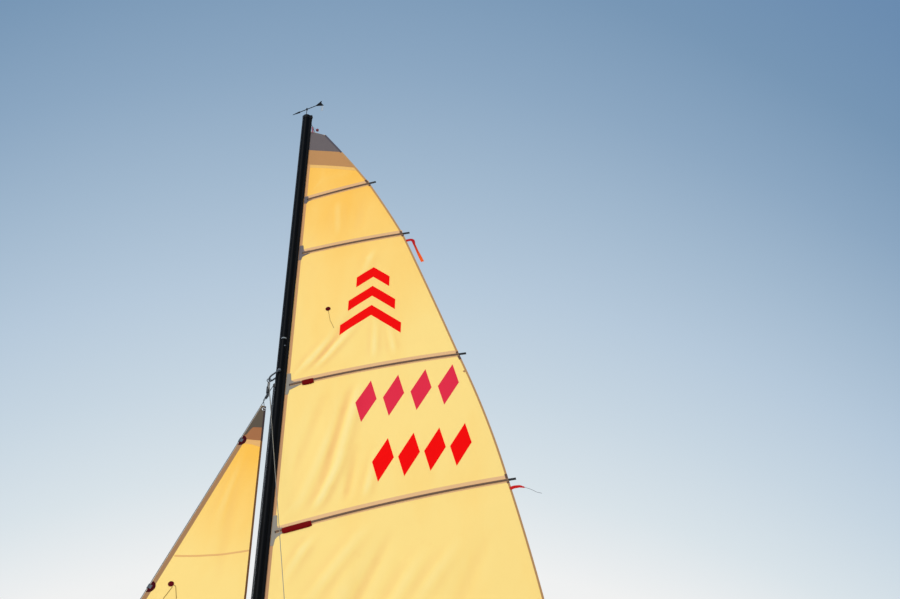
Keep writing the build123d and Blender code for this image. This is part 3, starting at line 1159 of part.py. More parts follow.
def build_parts():
    """Every sub-part by name, in place."""
    parts = {}
    for name, side in SIDES:
        parts["hull_" + name] = make_hull(side)
        parts["shroud_" + name] = make_shroud(side)
        parts["gudgeons_" + name] = make_gudgeons(side)
        parts["rudder_head_" + name] = make_rudder_head(side)
        parts["rudder_blade_" + name] = make_rudder_blade(side)
        parts["tiller_" + name] = make_tiller(side)
    parts["hatch_covers"] = make_hatch_covers()
    parts["front_crossbeam"] = make_beam(FRONT_BEAM_X)
    parts["rear_crossbeam"] = make_beam(REAR_BEAM_X)
    parts["beam_saddles"] = make_saddles()
    parts["side_rails"] = make_side_rails()
    parts["trampoline"] = make_trampoline()
    parts["hiking_straps"] = make_hiking_straps()
    parts["dolphin_striker"] = make_dolphin_striker()
    parts["mast_step"] = make_mast_step()
    parts["stay_link"] = make_stay_link()
    parts["forestay"] = make_forestay()
    parts["bridle_plate"] = make_bridle_plate()
    parts["bridle_wires"] = make_bridle_wires()
    parts["bow_tangs"] = make_lug_plates(TANG_X, HULL_Y, TANG_Z, TANG_HEIGHT, True)
    parts["chainplates"] = make_lug_plates(CHAINPLATE_X, CHAINPLATE_Y, SEAT_Z, LUG_HEIGHT, False)
    parts["traveller_track"] = make_traveller_track()
    parts["traveller_car"] = make_traveller_car()
    parts["crossbar"] = make_crossbar()
    parts["tiller_extension"] = make_tiller_extension()
    front_fitting, rear_fitting = make_boom_fittings()
    on_mast = {
        "mast": make_mast(),
        "mast_base": make_mast_base(),
        "mast_head": make_mast_head(),
        "head_sheave": make_head_sheave(),
        "hound_bail": make_hound_bail(),
        "gooseneck": make_gooseneck(),
        "vane_stem": make_vane_stem(),
        "wind_vane": make_wind_vane(),
        "boom": make_boom(),
        "boom_tongue": front_fitting,
        "boom_end": rear_fitting,
        "clew_slider": make_clew_slider(),
        "mainsail": make_mainsail(),
    }
    for index, (drop, aft, rise, _) in enumerate(BATTENS, 1):
        luff_height = HEAD_LUFF_HEIGHT - drop
        on_mast["batten_%d" % index] = make_batten(luff_height, aft, luff_height + rise)
    for name, shape in on_mast.items():
        parts[name] = [MAST_FRAME * solid for solid in solids_of(shape).solids()]
    for name, shape in (("jib", make_jib()), ("jib_hanks", make_jib_hanks())):
        parts[name] = [STAY_FRAME * solid for solid in solids_of(shape).solids()]
    return parts


if __name__ == "__main__":
    os.makedirs("parts", exist_ok=True)
    for name, shape in build_parts().items():
        export_step(solids_of(shape), "parts/%s.step" % name)
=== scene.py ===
"""A beach catamaran with a sloop rig: the finish and fabric of every piece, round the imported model."""
import json
import logging
import math
from dataclasses import dataclass, field
from enum import Enum
from typing import Sequence

import bmesh
import bpy
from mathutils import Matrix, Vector, noise


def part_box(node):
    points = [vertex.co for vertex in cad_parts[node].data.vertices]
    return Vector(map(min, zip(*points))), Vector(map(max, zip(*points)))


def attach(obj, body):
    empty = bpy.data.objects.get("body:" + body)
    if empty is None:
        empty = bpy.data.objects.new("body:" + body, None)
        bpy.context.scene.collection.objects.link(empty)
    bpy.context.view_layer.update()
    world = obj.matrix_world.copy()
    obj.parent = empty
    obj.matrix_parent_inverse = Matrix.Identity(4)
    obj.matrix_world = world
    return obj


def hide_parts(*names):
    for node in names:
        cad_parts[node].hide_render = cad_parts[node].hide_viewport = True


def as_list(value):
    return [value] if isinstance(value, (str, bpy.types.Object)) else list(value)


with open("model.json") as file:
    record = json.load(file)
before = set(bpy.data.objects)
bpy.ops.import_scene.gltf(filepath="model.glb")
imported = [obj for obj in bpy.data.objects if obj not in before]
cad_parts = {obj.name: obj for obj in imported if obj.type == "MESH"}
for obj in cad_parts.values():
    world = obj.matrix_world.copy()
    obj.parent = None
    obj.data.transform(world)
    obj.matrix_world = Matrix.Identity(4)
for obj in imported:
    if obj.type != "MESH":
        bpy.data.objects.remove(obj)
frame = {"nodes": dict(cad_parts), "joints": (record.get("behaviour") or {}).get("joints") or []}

log = logging.getLogger("catamaran")

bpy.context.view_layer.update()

ORIGIN = Vector((0.0, 0.0, 0.0))
FORWARD = Vector((1.0, 0.0, 0.0))
TO_PORT = Vector((0.0, 1.0, 0.0))
UP = Vector((0.0, 0.0, 1.0))

# the spacing in metres of a wave texture's bands at a scale of one
BAND_SPACING = 0.314

Piece = bpy.types.Object
Tree = bpy.types.NodeTree
Node = bpy.types.Node
Triple = tuple[float, float, float]
# a point of a flat layout, as distance aft and height, or any other pair
Flat = tuple[float, float]
# a fold's two ends, its depth towards port and its half width
Fold = tuple[Flat, Flat, float, float]


class Side(Enum):
    """The two sides of the boat, with the sign of their Y."""

    PORT = 1
    STARBOARD = -1

    @property
    def label(self) -> str:
        """The side's name as the frame spells it."""
        return self.name.lower()


# Small helpers for nodes

def linear(hex_colour: str) -> tuple[float, float, float, float]:
    """Turns an sRGB hex colour into Blender's linear values.

    Args:
        hex_colour: Six hex digits with a leading hash.

    Returns:
        Red, green, blue and an alpha of one.
    """
    values = []
    for index in (1, 3, 5):
        value = int(hex_colour[index:index + 2], 16) / 255
        values.append(value / 12.92 if value <= 0.04045 else ((value + 0.055) / 1.055) ** 2.4)
    return (values[0], values[1], values[2], 1.0)


def add_node(tree: Tree, kind: str, settings: dict | None = None,
             links: dict | None = None) -> Node:
    """Adds one shader node.

    Args:
        tree: The tree that the node goes into.
        kind: The node's type name without its first part.
        settings: Attributes by name, and input values by socket name or number.
        links: What feeds each input, by its name or number: a socket, or a node's first output.

    Returns:
        The new node.
    """
    node = tree.nodes.new(f"ShaderNode{kind}")
    for name, value in (settings or {}).items():
        if isinstance(name, str) and hasattr(node, name) and name not in node.inputs:
            setattr(node, name, value)
        else:
            node.inputs[name].default_value = value
    for name, source in (links or {}).items():
        if isinstance(source, Node):
            source = next(socket for socket in source.outputs if socket.enabled)
        tree.links.new(source, node.inputs[name])
    return node


# Finishes

@dataclass(frozen=True)
class Finish:
    """A plain finish that the others build on."""

    name: str
    colour: str
    second: str  # what its pattern or wear runs to
    roughness: float = 0.5
    metallic: float = 0.0
    grain: float = 0.002  # size of the pattern
    relief: float = 0.0002  # depth of the bump
    coat: float = 0.0  # weight of a clear coat
    gloss: float = 0.5  # half for common plastics and paints
    patch: float = 60.0  # grains in a patch of the second colour
    wear: Flat = (-0.08, 0.10)  # how far the roughness runs

    def place(self, tree: Tree) -> bpy.types.NodeSocket:
        """The coordinates that the pattern reads: the piece's own place in metres."""
        return add_node(tree, "TexCoord").outputs["Object"]

    def feeds(self, tree: Tree) -> dict[str, Node]:
        """Adds colour variation, a roughness that varies and a fine bump.

        Args:
            tree: The material's tree.

        Returns:
            What feeds the shader, by the names of its inputs.
        """
        place = self.place(tree)
        wide = add_node(tree, "TexNoise", {"Scale": 1 / (self.grain * self.patch), "Detail": 3.0},
                        {"Vector": place})
        fine = add_node(tree, "TexNoise", {"Scale": 1 / self.grain, "Detail": 3.0},
                        {"Vector": place})
        return {
            "Base Color": add_node(tree, "Mix", {
                "data_type": "RGBA", 6: linear(self.colour), 7: linear(self.second)}, {0: wide}),
            "Roughness": add_node(tree, "MapRange", {
                "To Min": max(0.03, self.roughness + self.wear[0]),
                "To Max": min(1.0, self.roughness + self.wear[1])}, {"Value": wide}),
            "Normal": add_node(tree, "Bump", {"Strength": 0.5, "Distance": self.relief},
                               {"Height": fine})}

    def material(self) -> bpy.types.Material:
        """The finished material, made once.

        Returns:
            The material of that name, with its shader fed by the finish's patterns.
        """
        known = bpy.data.materials.get(self.name)
        if known:
            return known
        material = bpy.data.materials.new(self.name)
        material.use_nodes = True
        tree = material.node_tree
        tree.nodes.clear()
        shader = add_node(tree, "BsdfPrincipled", {
            "Base Color": linear(self.colour), "Roughness": self.roughness,
            "Metallic": self.metallic, "Coat Weight": self.coat,
            "Specular IOR Level": self.gloss}, self.feeds(tree))
        add_node(tree, "OutputMaterial", links={"Surface": shader})
        return material


@dataclass(frozen=True)
class SailCloth(Finish):
    """Woven polyester sailcloth, resin filled: crisp, faintly translucent, glowing warm."""

    roughness: float = 0.7
    gloss: float = 0.15
    low: float = 4.0  # where the second colour is full
    high: float = 9.0  # where the first is
    weave: float = 0.004  # thread spacing
    # ridge and hollow are painted light: a highlight painted on the folds' ridges and shade painted in
    # their hollows
    ridge: str = ""  # the folds' ridges, if shaded
    hollow: str = "#EBB878"
    lean: float = -28.0  # of the creases, in degrees
    stretch: float = 0.28  # how long they are drawn
    mottle: float = 0.30  # size
    contrast: float = 0.9
    pucker: float = 0.055  # size
    pucker_depth: float = 0.0025

    def place(self, tree: Tree) -> bpy.types.NodeSocket:
        """The cloth's own flat layout in metres, kept as its UV map."""
        return add_node(tree, "UVMap", {"uv_map": "Layout"}).outputs["UV"]

    def feeds(self, tree: Tree) -> dict[str, Node]:
        """Grades the colour up the sail, adds soft mottling, creases and the weave.

        Args:
            tree: The material's tree.

        Returns:
            What feeds the shader, by the names of its inputs.
        """
        place = self.place(tree)
        apart = add_node(tree, "SeparateXYZ", links={"Vector": place})
        height = add_node(tree, "MapRange", {"From Min": self.low, "From Max": self.high},
                          {"Value": apart.outputs["Y"]})
        drawn = add_node(tree, "Mapping", {
            "vector_type": "POINT", "Rotation": (0.0, 0.0, math.radians(self.lean)),
            "Scale": (1.0, self.stretch, 1.0)}, {"Vector": place})
        patchy = add_node(tree, "TexNoise", {"Scale": 1 / self.mottle, "Detail": 4.0},
                          {"Vector": drawn})
        faded = add_node(tree, "Math", {"operation": "MULTIPLY_ADD", 1: self.contrast,
                                        2: -self.contrast / 2}, {0: patchy})
        share = add_node(tree, "Math", {"operation": "ADD", "use_clamp": True},
                         {0: faded, 1: height})
        colour = add_node(tree, "Mix", {
            "data_type": "RGBA", 6: linear(self.second), 7: linear(self.colour)}, {0: share})
        # threads are about 0.3 mm apart, drawn coarser so that they show close up
        across, along = [add_node(tree, "TexWave", {
            "bands_direction": axis, "Scale": BAND_SPACING / self.weave},
            {"Vector": place}).outputs["Fac"] for axis in ("X", "Y")]
        weave = add_node(tree, "Math", {"operation": "MULTIPLY"}, {0: across, 1: along})
        soft = add_node(tree, "TexNoise", {"Scale": 1 / self.pucker, "Detail": 2.0},
                        {"Vector": drawn})
        puckers = add_node(tree, "Bump", {"Strength": 0.35, "Distance": self.pucker_depth},
                           {"Height": soft})
        threads = add_node(tree, "Bump", {"Strength": 0.4, "Distance": self.relief},
                           {"Height": weave, "Normal": puckers})
        return {"Base Color": self.shade_folds(tree, colour) if self.ridge else colour,
                "Normal": threads}

    def shade_folds(self, tree: Tree, colour: Node) -> Node:
        """Lightens the ridges of the folds and deepens their hollows.

        Args:
            tree: The material's tree.
            colour: The cloth's colour without folds.

        Returns:
            The colour with the folds' painted highlight and painted shade in it.
        """
        # the cloth's bend places the painted highlight on ridges and the painted shade in hollows
        crease = add_node(tree, "Attribute", {"attribute_name": "Crease"}).outputs["Fac"]
        for full, tint in ((1.0, self.ridge), (0.0, self.hollow)):
            share = add_node(tree, "MapRange", {"From Min": 0.5, "From Max": full},
                             {"Value": crease})
            colour = add_node(tree, "Mix", {"data_type": "RGBA", 7: linear(tint)},
                              {0: share, 6: colour})
        return colour


@dataclass(frozen=True)
class Brushed(Finish):
    """Drawn or brushed metal: fine scratches along one axis that stretch the highlight."""

    along: Triple = (0.0, 0.0, 1.0)  # the axis of the scratches
    squeeze: float = 0.04  # how long they are drawn

    def place(self, tree: Tree) -> bpy.types.NodeSocket:
        """Object coordinates squeezed along the scratches."""
        scale = tuple(self.squeeze if value > 0.5 else 1.0 for value in self.along)
        return add_node(tree, "Mapping", {"Scale": scale},
                        {"Vector": super().place(tree)}).outputs["Vector"]


@dataclass(frozen=True)
class Woven(Finish):
    """Straps, net and braid: crossed sets of threads of the grain's spacing."""

    patch: float = 40.0

    def feeds(self, tree: Tree) -> dict[str, Node]:
        """Adds the crossed threads as bump and as colour.

        Args:
            tree: The material's tree.

        Returns:
            What feeds the shader, by the names of its inputs.
        """
        place = self.place(tree)
        crossed = [add_node(tree, "TexWave", {
            "bands_direction": axis, "Scale": BAND_SPACING / self.grain},
            {"Vector": place}).outputs["Fac"] for axis in ("X", "Y", "Z")]
        threads = add_node(tree, "Math", {"operation": "MULTIPLY_ADD"}, dict(enumerate(crossed)))
        wide = add_node(tree, "TexNoise", {"Scale": 1 / (self.grain * self.patch), "Detail": 3.0},
                        {"Vector": place})
        share = add_node(tree, "Math", {"operation": "MULTIPLY", "use_clamp": True},
                         {0: threads, 1: wide})
        return {
            "Base Color": add_node(tree, "Mix", {
                "data_type": "RGBA", 6: linear(self.colour), 7: linear(self.second)}, {0: share}),
            "Normal": add_node(tree, "Bump", {"Strength": 0.7, "Distance": self.relief},
                               {"Height": threads})}


@dataclass(frozen=True)
class Gelcoat(Finish):
    """Polished gelcoat over glass fibre, with a sanded non-skid deck and a coloured sheer line."""

    stripe: str = "#B5121B"
    stripe_up: float = 0.408
    stripe_half: float = 0.016
    deck_colour: str = "#C9CBC8"
    deck_half: float = 0.118
    deck_dull: float = 0.72  # its roughness
    hull_y: float = 1.04  # from the centreline
    level: float = 0.85  # how far up a surface faces to be deck
    shade: float = 0.5  # size of the tint
    grit: float = 0.0035  # grain size
    grit_height: float = 0.0012

    def feeds(self, tree: Tree) -> dict[str, Node]:
        """Paints the sheer line by height, and the non-skid where the surface faces up.

        Args:
            tree: The material's tree.

        Returns:
            What feeds the shader, by the names of its inputs.
        """
        place = self.place(tree)
        apart = add_node(tree, "SeparateXYZ", links={"Vector": place})
        facing = add_node(tree, "SeparateXYZ", links={
            "Vector": add_node(tree, "NewGeometry").outputs["Normal"]})
        wide = add_node(tree, "TexNoise", {"Scale": 1 / self.shade, "Detail": 3.0},
                        {"Vector": place})
        shell = add_node(tree, "Mix", {
            "data_type": "RGBA", 6: linear(self.colour), 7: linear(self.second)}, {0: wide})
        band = add_node(tree, "Math", {"operation": "COMPARE", 1: self.stripe_up,
                                       2: self.stripe_half}, {0: apart.outputs["Z"]})
        lined = add_node(tree, "Mix", {"data_type": "RGBA", 7: linear(self.stripe)},
                         {0: band, 6: shell})
        away = add_node(tree, "Math", {"operation": "ABSOLUTE"}, {0: apart.outputs["Y"]})
        inside = add_node(tree, "Math", {"operation": "COMPARE", 1: self.hull_y,
                                         2: self.deck_half}, {0: away})
        level = add_node(tree, "Math", {"operation": "GREATER_THAN", 1: self.level},
                         {0: facing.outputs["Z"]})
        deck = add_node(tree, "Math", {"operation": "MULTIPLY"}, {0: level, 1: inside})
        grit = add_node(tree, "TexNoise", {"Scale": 1 / self.grit, "Detail": 2.0},
                        {"Vector": place})
        gritty = add_node(tree, "Math", {"operation": "MULTIPLY"}, {0: grit, 1: deck})
        return {
            "Base Color": add_node(tree, "Mix", {
                "data_type": "RGBA", 7: linear(self.deck_colour)}, {0: deck, 6: lined}),
            "Roughness": add_node(tree, "MapRange", {
                "To Min": self.roughness, "To Max": self.deck_dull}, {"Value": deck}),
            "Normal": add_node(tree, "Bump", {"Strength": 0.8, "Distance": self.grit_height},
                               {"Height": gritty})}


# Sailcloth

# gold that glows, deepest at the head, with a painted highlight on the ridges of its folds and painted
# shade in their hollows
MAIN_CLOTH = SailCloth("main sailcloth", "#FFC352", "#FFE08A", gloss=0.12, low=5.95, high=7.8,
                       ridge="#FFE99E", hollow="#F4C276")
# the same gold on the jib, with the same painted highlight and painted shade in its folds
JIB_CLOTH = SailCloth("jib sailcloth", "#FFC450", "#FFDF88", gloss=0.12, low=-1.4, high=-0.3,
                      ridge="#FFE799", hollow="#F2BC70")
# layers that let no light through: a dull warm grey
GREY_LAYERS = SailCloth("corner layers of grey sailcloth", "#625A5D", "#6E676A", gloss=0.2)
# fewer layers: a paler grey
PALE_GREY = SailCloth("luff layers of pale grey sailcloth", "#807B75", "#928C82", gloss=0.2)
# the jib's thick corners: a dark brown grey
JIB_GREY = SailCloth("corner layers of brown grey sailcloth", "#4E4438", "#5A4F42", gloss=0.2)
# two or three layers against the light: a flat tan
TAN_LAYERS = SailCloth("doubled tan sailcloth", "#B98855", "#C29061")
# the same on the jib: a reddish brown
JIB_TAN = SailCloth("doubled brown sailcloth", "#985F3A", "#A66E46")
# one layer more: a gold a little deeper than the sail's
PALE_LAYERS = SailCloth("doubled golden sailcloth", "#EDBB69", "#F2C67A")
# the jib's seams and outer layer: light brown
JIB_PALE = SailCloth("doubled light brown sailcloth", "#E0A45E", "#E8B470")
# tape folded over the bolt rope: a matt orange brown edge
LUFF_TAPE = SailCloth("luff tape", "#CE9A66", "#BF9068", 0.75)
# tape folded over the leech: a thin tan edge
LEECH_TAPE = SailCloth("leech tape", "#BC9262", "#AE865A", 0.75)
# stacked layers where a batten comes out: a nearly black brown fleck
LEECH_DARK = SailCloth("dark leech layers", "#5A4238", "#6A5044", 0.75, gloss=0.1)
# the jib's folded luff: greyer than the mainsail's
JIB_TAPE = SailCloth("jib luff tape", "#B18A62", "#A47C58", 0.75)
# the jib's leech: a dark brown line
JIB_LEECH = SailCloth("jib leech tape", "#7A5230", "#6A4628", 0.75, gloss=0.1)
# the same over the head's layers: nearly black
JIB_LEECH_GREY = SailCloth("dark jib leech tape", "#33292C", "#3C3134", 0.75, gloss=0.1)
# the leech beside the grey layers: a cool dark grey
LEECH_GREY = SailCloth("grey leech tape", "#4D4A55", "#5A5660", 0.75)
# a second layer over the cloth: a pinkish tan band
POCKET_CLOTH = SailCloth("batten pocket cloth", "#DEB07E", "#E6BB8A")
# where the batten stops the light: a dark brown core
POCKET_RIDGE = SailCloth("batten under its pocket", "#5E4A3C", "#6C5646")
# thin stuck-on cloth on the near face: a pure bright red
RED_CLOTH = SailCloth("red insignia cloth", "#EC0000", "#FA0404", gloss=0.05)
# the same seen through the sail: a cooler crimson
RED_THROUGH = SailCloth("red insignia seen through the cloth", "#DC1C40", "#E42C48", gloss=0.1)
# tough leather round a batten's end: a dull deep red
CHAFE_RED = SailCloth("dark red chafe leather", "#5E0002", "#720306", gloss=0.05)
# the hanks' leather in shadow: almost black maroon
HANK_RED = SailCloth("maroon hank leather", "#33000A", "#420410", gloss=0.05)
# fuzzy wool with no shine: a dark spot
MAROON = SailCloth("maroon wool", "#4A0410", "#5A0A16", 0.9, gloss=0.05)
# a single strand of wool: a thin brown line
WOOL_BROWN = SailCloth("brown wool thread", "#8E6C34", "#7E5E2E", 0.9, gloss=0.05)
# light ribbon that has faded to orange at its free end
RIBBON_RED = SailCloth("red ribbon with a faded end", "#B4101C", "#F05A14", 0.6, gloss=0.1, low=6.74,
                       high=6.86)
# the same ribbon unfaded
RIBBON_DARK = SailCloth("dark red ribbon", "#A00808", "#C81418", 0.6, gloss=0.1)
# thick sewing thread: pale dashes on the straps
STITCH = SailCloth("pale thread", "#EFE3C4", "#E2D2AC", 0.8, gloss=0.1)

# Metals

# anodised in black: a near silhouette that hardly mirrors the sky
MAST_BLACK = Brushed("black anodised mast section", "#010204", "#04060A", 0.45, 0.0,
                     grain=0.003, relief=0.00005, gloss=0.05)
# clear anodised tube: a soft silver sheen drawn out across the boat
BEAM_SILVER = Brushed("clear anodised beam", "#B9BCC0", "#A3A7AC", 0.34, 1.0, grain=0.003,
                      relief=0.00005, along=(0.0, 1.0, 0.0))
# the same drawn out along the boat
RAIL_SILVER = Brushed("clear anodised rail", "#B9BCC0", "#A3A7AC", 0.36, 1.0, grain=0.003,
                      relief=0.00005, along=(1.0, 0.0, 0.0))
# cast and anodised: black with a faint skin of grain
HEAD_BLACK = Finish("black anodised masthead casting", "#04060A", "#0A0D12", 0.5, grain=0.0012,
                    relief=0.0001, gloss=0.1)
# powder coated casting: charcoal with a fine orange peel
CAST_BLACK = Finish("black powder coated casting", "#17181B", "#24262A", 0.5, grain=0.0012,
                    relief=0.00012)
# polished steel: bright, with crisp highlights
STAINLESS = Finish("polished stainless steel", "#C4C6C8", "#A9ACB0", 0.2, 1.0, grain=0.004,
                   relief=0.00003)
# steel dulled by salt: a blue grey without much sparkle
DARK_STEEL = Finish("weathered stainless steel", "#343C46", "#4A525C", 0.42, 0.3, grain=0.004,
                    relief=0.00006)
# wire rope with its shade against the light painted into its colour: a thin dark line
SHADED_WIRE = Brushed("dark coated wire rope", "#22262C", "#3C4248", 0.5, 0.0, grain=0.002,
                    relief=0.0002, gloss=0.2, along=(0.0, 0.0, 0.0))
# bare stranded wire: a warm grey line that catches some light
BRIGHT_WIRE = Brushed("bright wire rope", "#99958C", "#827E76", 0.4, 0.6, grain=0.002,
                      relief=0.0002, along=(0.0, 0.0, 0.0))

# Plastics, laminates and cords

# moulded and satin: black with a soft edge light
BLACK_PLASTIC = Finish("moulded black acetal", "#0B0C0F", "#15161A", 0.46, grain=0.001,
                       relief=0.00006, gloss=0.35)
# moulded and shiny: a clean black outline against the sky
VANE_BLACK = Finish("glossy black vane plastic", "#06080B", "#0E1116", 0.4, grain=0.001,
                    relief=0.00003, gloss=0.1)
# frosted sheet, with the sky's blue and the dimness that it takes on against the light painted into its
# colour
VANE_TAB = Finish("frosted vane tab", "#93A2B2", "#9FAEBD", 0.5, grain=0.004, relief=0.00003)
# polished and waxed off-white, with a sanded deck
HULL_WHITE = Gelcoat("white gelcoat", "#EDEBE4", "#E4E1D8", 0.18, coat=0.3)
# the same resin on the blades, a little less polished
BLADE_WHITE = Finish("white blade laminate", "#E3E0D7", "#D8D4C9", 0.26, grain=0.01,
                     relief=0.00005, coat=0.3)
# glass fibre rod: dark with a dry, fibrous sheen
BATTEN_GREY = Finish("pultruded batten", "#16181B", "#24272B", 0.5, grain=0.002, relief=0.00005,
                     gloss=0.2)
# moulded ball: dark red with a round highlight
RED_PLASTIC = Finish("moulded red ball", "#5A0018", "#6E0420", 0.35, grain=0.002, relief=0.00004)
# sun bleached tape: a dusty pink without shine
PINK_TAPE = Finish("faded red shackle tape", "#86495E", "#93586A", 0.7, grain=0.002, relief=0.0002)
# wrapped tape: a pale grey ring on the black mast
PALE_BAND = Finish("pale rigging tape", "#6F7A82", "#808A92", 0.6, grain=0.002, relief=0.0001)
# knitted mesh, its 2 mm holes drawn coarser to show: charcoal with a blue bloom
NET_CLOTH = Woven("trampoline mesh", "#14171C", "#3B414B", 0.75, grain=0.008, relief=0.0016)
# coated hem: smoother and darker than the mesh beside it
HEM_VINYL = Finish("grey hem vinyl", "#2B2F36", "#363B43", 0.55, grain=0.002, relief=0.0002)
# flat woven strap: black with visible ribs
WEBBING = Woven("black strap webbing", "#15161A", "#2C2E34", 0.8, grain=0.0024, relief=0.0006)
# ribbed grip: a dead black
RUBBER = Finish("ribbed rubber grip", "#121214", "#1E1E20", 0.8, grain=0.003, relief=0.0004)
# braided cover: dark with a broken blue grey fleck
HALYARD = Woven("braided halyard", "#12161D", "#39414D", 0.75, grain=0.003, relief=0.0005)
# thin braid: pale loops against the rails
WHITE_LINE = Woven("white lacing line", "#D8D6CF", "#B9B6AC", 0.75, grain=0.003, relief=0.0005)


# Where the rig stands, from the frame

BOOM_ABOVE_STEP = 0.636


def joint(name: str) -> dict:
    """One joint of the frame by its name."""
    return next(entry for entry in frame["joints"] if entry["name"] == name)


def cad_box(name: str) -> tuple[Vector, Vector]:
    """The lowest and highest corner of a carried-over piece."""
    low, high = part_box(name)
    return Vector(low), Vector(high)


@dataclass(frozen=True)
class Layout:
    """A flat layout hung on a straight line, such as a sail on its mast track.

    Attributes:
        origin: Where the layout's zero is.
        up: The direction of its height.
    """

    origin: Vector
    up: Vector

    @property
    def aft(self) -> Vector:
        """The level direction away from the bows, square to the line."""
        return Vector((-self.up.z, 0.0, self.up.x))

    def at(self, aft: float, up: float, out: float = 0.0) -> Vector:
        """A point in the frame, with out counted towards port."""
        return self.origin + self.aft * aft + self.up * up + Vector((0.0, out, 0.0))


BOOM_PIN = Vector(joint("boom_swing")["pos_m"])
MAST_UP = Vector(joint("boom_swing")["axis"]).normalized()
TRACK = Layout(BOOM_PIN - MAST_UP * BOOM_ABOVE_STEP, MAST_UP)
STAY = Layout(Vector(joint("jib_swing")["pos_m"]), Vector(joint("jib_swing")["axis"]).normalized())


# Cloth

@dataclass
class Cloth:
    """A sail's surface: an arc of constant camber, with shallow folds."""

    layout: Layout  # where the sail hangs
    chord: float  # of the arc
    camber: float  # depth of the arc, to port
    folds: Sequence[Fold] = ()
    battens: Sequence[Triple] = ()  # lines that stay straight
    strength: float = 1.15  # deeper than listed
    still_luff: Flat = (0.035, 0.10)  # where folds begin, and over what they grow
    still_batten: Flat = (0.045, 0.13)  # the same beside one
    overrun: float = 0.15  # past a fold's ends
    fade: float = 0.25  # over what it runs out
    ripple: float = 0.005  # depth
    reach: float = 0.018  # over which a bend is felt
    sharpest: float = 36.0  # a full ridge or hollow

    @property
    def radius(self) -> float:
        """The arc's radius."""
        return (self.chord ** 2 / 4 + self.camber ** 2) / (2 * self.camber)

    def depth(self, aft: float) -> float:
        """How far the arc stands to port at a distance aft."""
        radius = self.radius
        return math.sqrt(radius ** 2 - (aft - self.chord / 2) ** 2) - (radius - self.camber)

    def slope(self, aft: float) -> float:
        """How fast the arc's depth grows with the distance aft."""
        across = self.chord / 2 - aft
        return across / math.sqrt(self.radius ** 2 - across ** 2)

    def calm(self, aft: float, up: float) -> float:
        """How freely the cloth may fold at a point: not at all at the luff and beside a batten.

        Args:
            aft: Distance aft in the flat layout.
            up: Height in the flat layout.

        Returns:
            A share from 0 to 1.
        """
        start, over = self.still_luff
        share = min(1.0, max(0.0, (aft - start) / over))
        start, over = self.still_batten
        for luff, leech_aft, leech_up in self.battens:
            line = luff + (leech_up - luff) * aft / leech_aft
            share = min(share, max(0.0, (abs(up - line) - start) / over))
        return share * share * (3 - 2 * share)

    def fold(self, aft: float, up: float) -> float:
        """How deep the folds are at a point.

        Args:
            aft: Distance aft in the flat layout.
            up: Height in the flat layout.

        Returns:
            The depth towards port.
        """
        total = 0.0
        for (start_aft, start_up), (end_aft, end_up), depth, width in self.folds:
            run = Vector((end_aft - start_aft, end_up - start_up))
            length = run.length
            run /= length
            reach = Vector((aft - start_aft, up - start_up))
            along = reach.dot(run)
            off = reach.x * run.y - reach.y * run.x
            inside = min(along, length - along) + self.overrun
            if inside > 0 and abs(off) < 3 * width:
                fade = min(1.0, inside / self.fade)
                total += depth * self.strength * fade * math.exp(-(off / width) ** 2)
        # long ripples that lean aft as they go down
        ripple = noise.noise(Vector((aft * 2.2 - up * 0.8, up * 0.9, 3.7))) * self.ripple
        return (total + ripple) * self.calm(aft, up)

    def crease(self, aft: float, up: float) -> float:
        """How strongly the cloth bends at a point.

        Args:
            aft: Distance aft in the flat layout.
            up: Height in the flat layout.

        Returns:
            A share from 0 in a hollow to 1 on a ridge.
        """
        step = self.reach
        around = (self.fold(aft + step, up) + self.fold(aft - step, up)
                  + self.fold(aft, up + step) + self.fold(aft, up - step))
        bend = (4 * self.fold(aft, up) - around) / step ** 2
        return min(1.0, max(0.0, 0.5 + bend / self.sharpest))

    def at(self, aft: float, up: float, lift: float = 0.0) -> Vector:
        """A point on the cloth, or lifted off it along its normal towards port.

        Args:
            aft: Distance aft in the flat layout.
            up: Height in the flat layout.
            lift: Distance off the cloth's middle.

        Returns:
            The point in the frame.
        """
        tilt = self.slope(aft)
        size = math.hypot(1.0, tilt)
        out = self.depth(aft) + self.fold(aft, up)
        return self.layout.at(aft - lift * tilt / size, up, out + lift / size)


def link_object(name: str, data: bpy.types.ID) -> Piece:
    """Puts a mesh, a curve, a lamp or a camera into the scene at the origin.

    Args:
        name: Its name.
        data: What it is made of.

    Returns:
        The object.
    """
    piece = bpy.data.objects.new(name, data)
    bpy.context.scene.collection.objects.link(piece)
    return piece


def deselect() -> None:
    """Leaves nothing selected, so that the next operator acts on its own piece alone."""
    bpy.ops.object.select_all(action="DESELECT")


def choose(piece: Piece) -> None:
    """Makes one piece the only selected and active object.

    Args:
        piece: The piece.
    """
    deselect()
    piece.select_set(True)
    bpy.context.view_layer.objects.active = piece


def coat(piece: Piece, *finishes: Finish) -> Piece:
    """Gives a piece its finishes in order of their material slots.

    Args:
        piece: The piece.
        finishes: One finish or several.

    Returns:
        The same piece.
    """
    piece.data.materials.clear()
    for finish in finishes:
        piece.data.materials.append(finish.material())
    return piece


def smooth(piece: Piece, degrees: float = 40.0) -> Piece:
    """Shades a piece smooth.

    Args:
        piece: The piece.
        degrees: Edges that turn more than this stay sharp.

    Returns:
        The same piece.
    """
    choose(piece)
    bpy.ops.object.shade_smooth_by_angle(angle=math.radians(degrees))
    return piece


def report(piece: Piece, body: str) -> None:
    """Puts a piece on its body and logs it.

    Args:
        piece: The piece.
        body: The body that it moves with.
    """
    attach(piece, body)
    log.info("%s rides on %s", piece.name, body)


def grid(rows: int, columns: int) -> list[tuple[int, int, int, int]]:
    """The faces of a sheet whose points are numbered row by row."""
    wide = columns + 1
    return [(first, first + 1, first + 1 + wide, first + wide)
            for row in range(rows) for first in range(row * wide, row * wide + columns)]


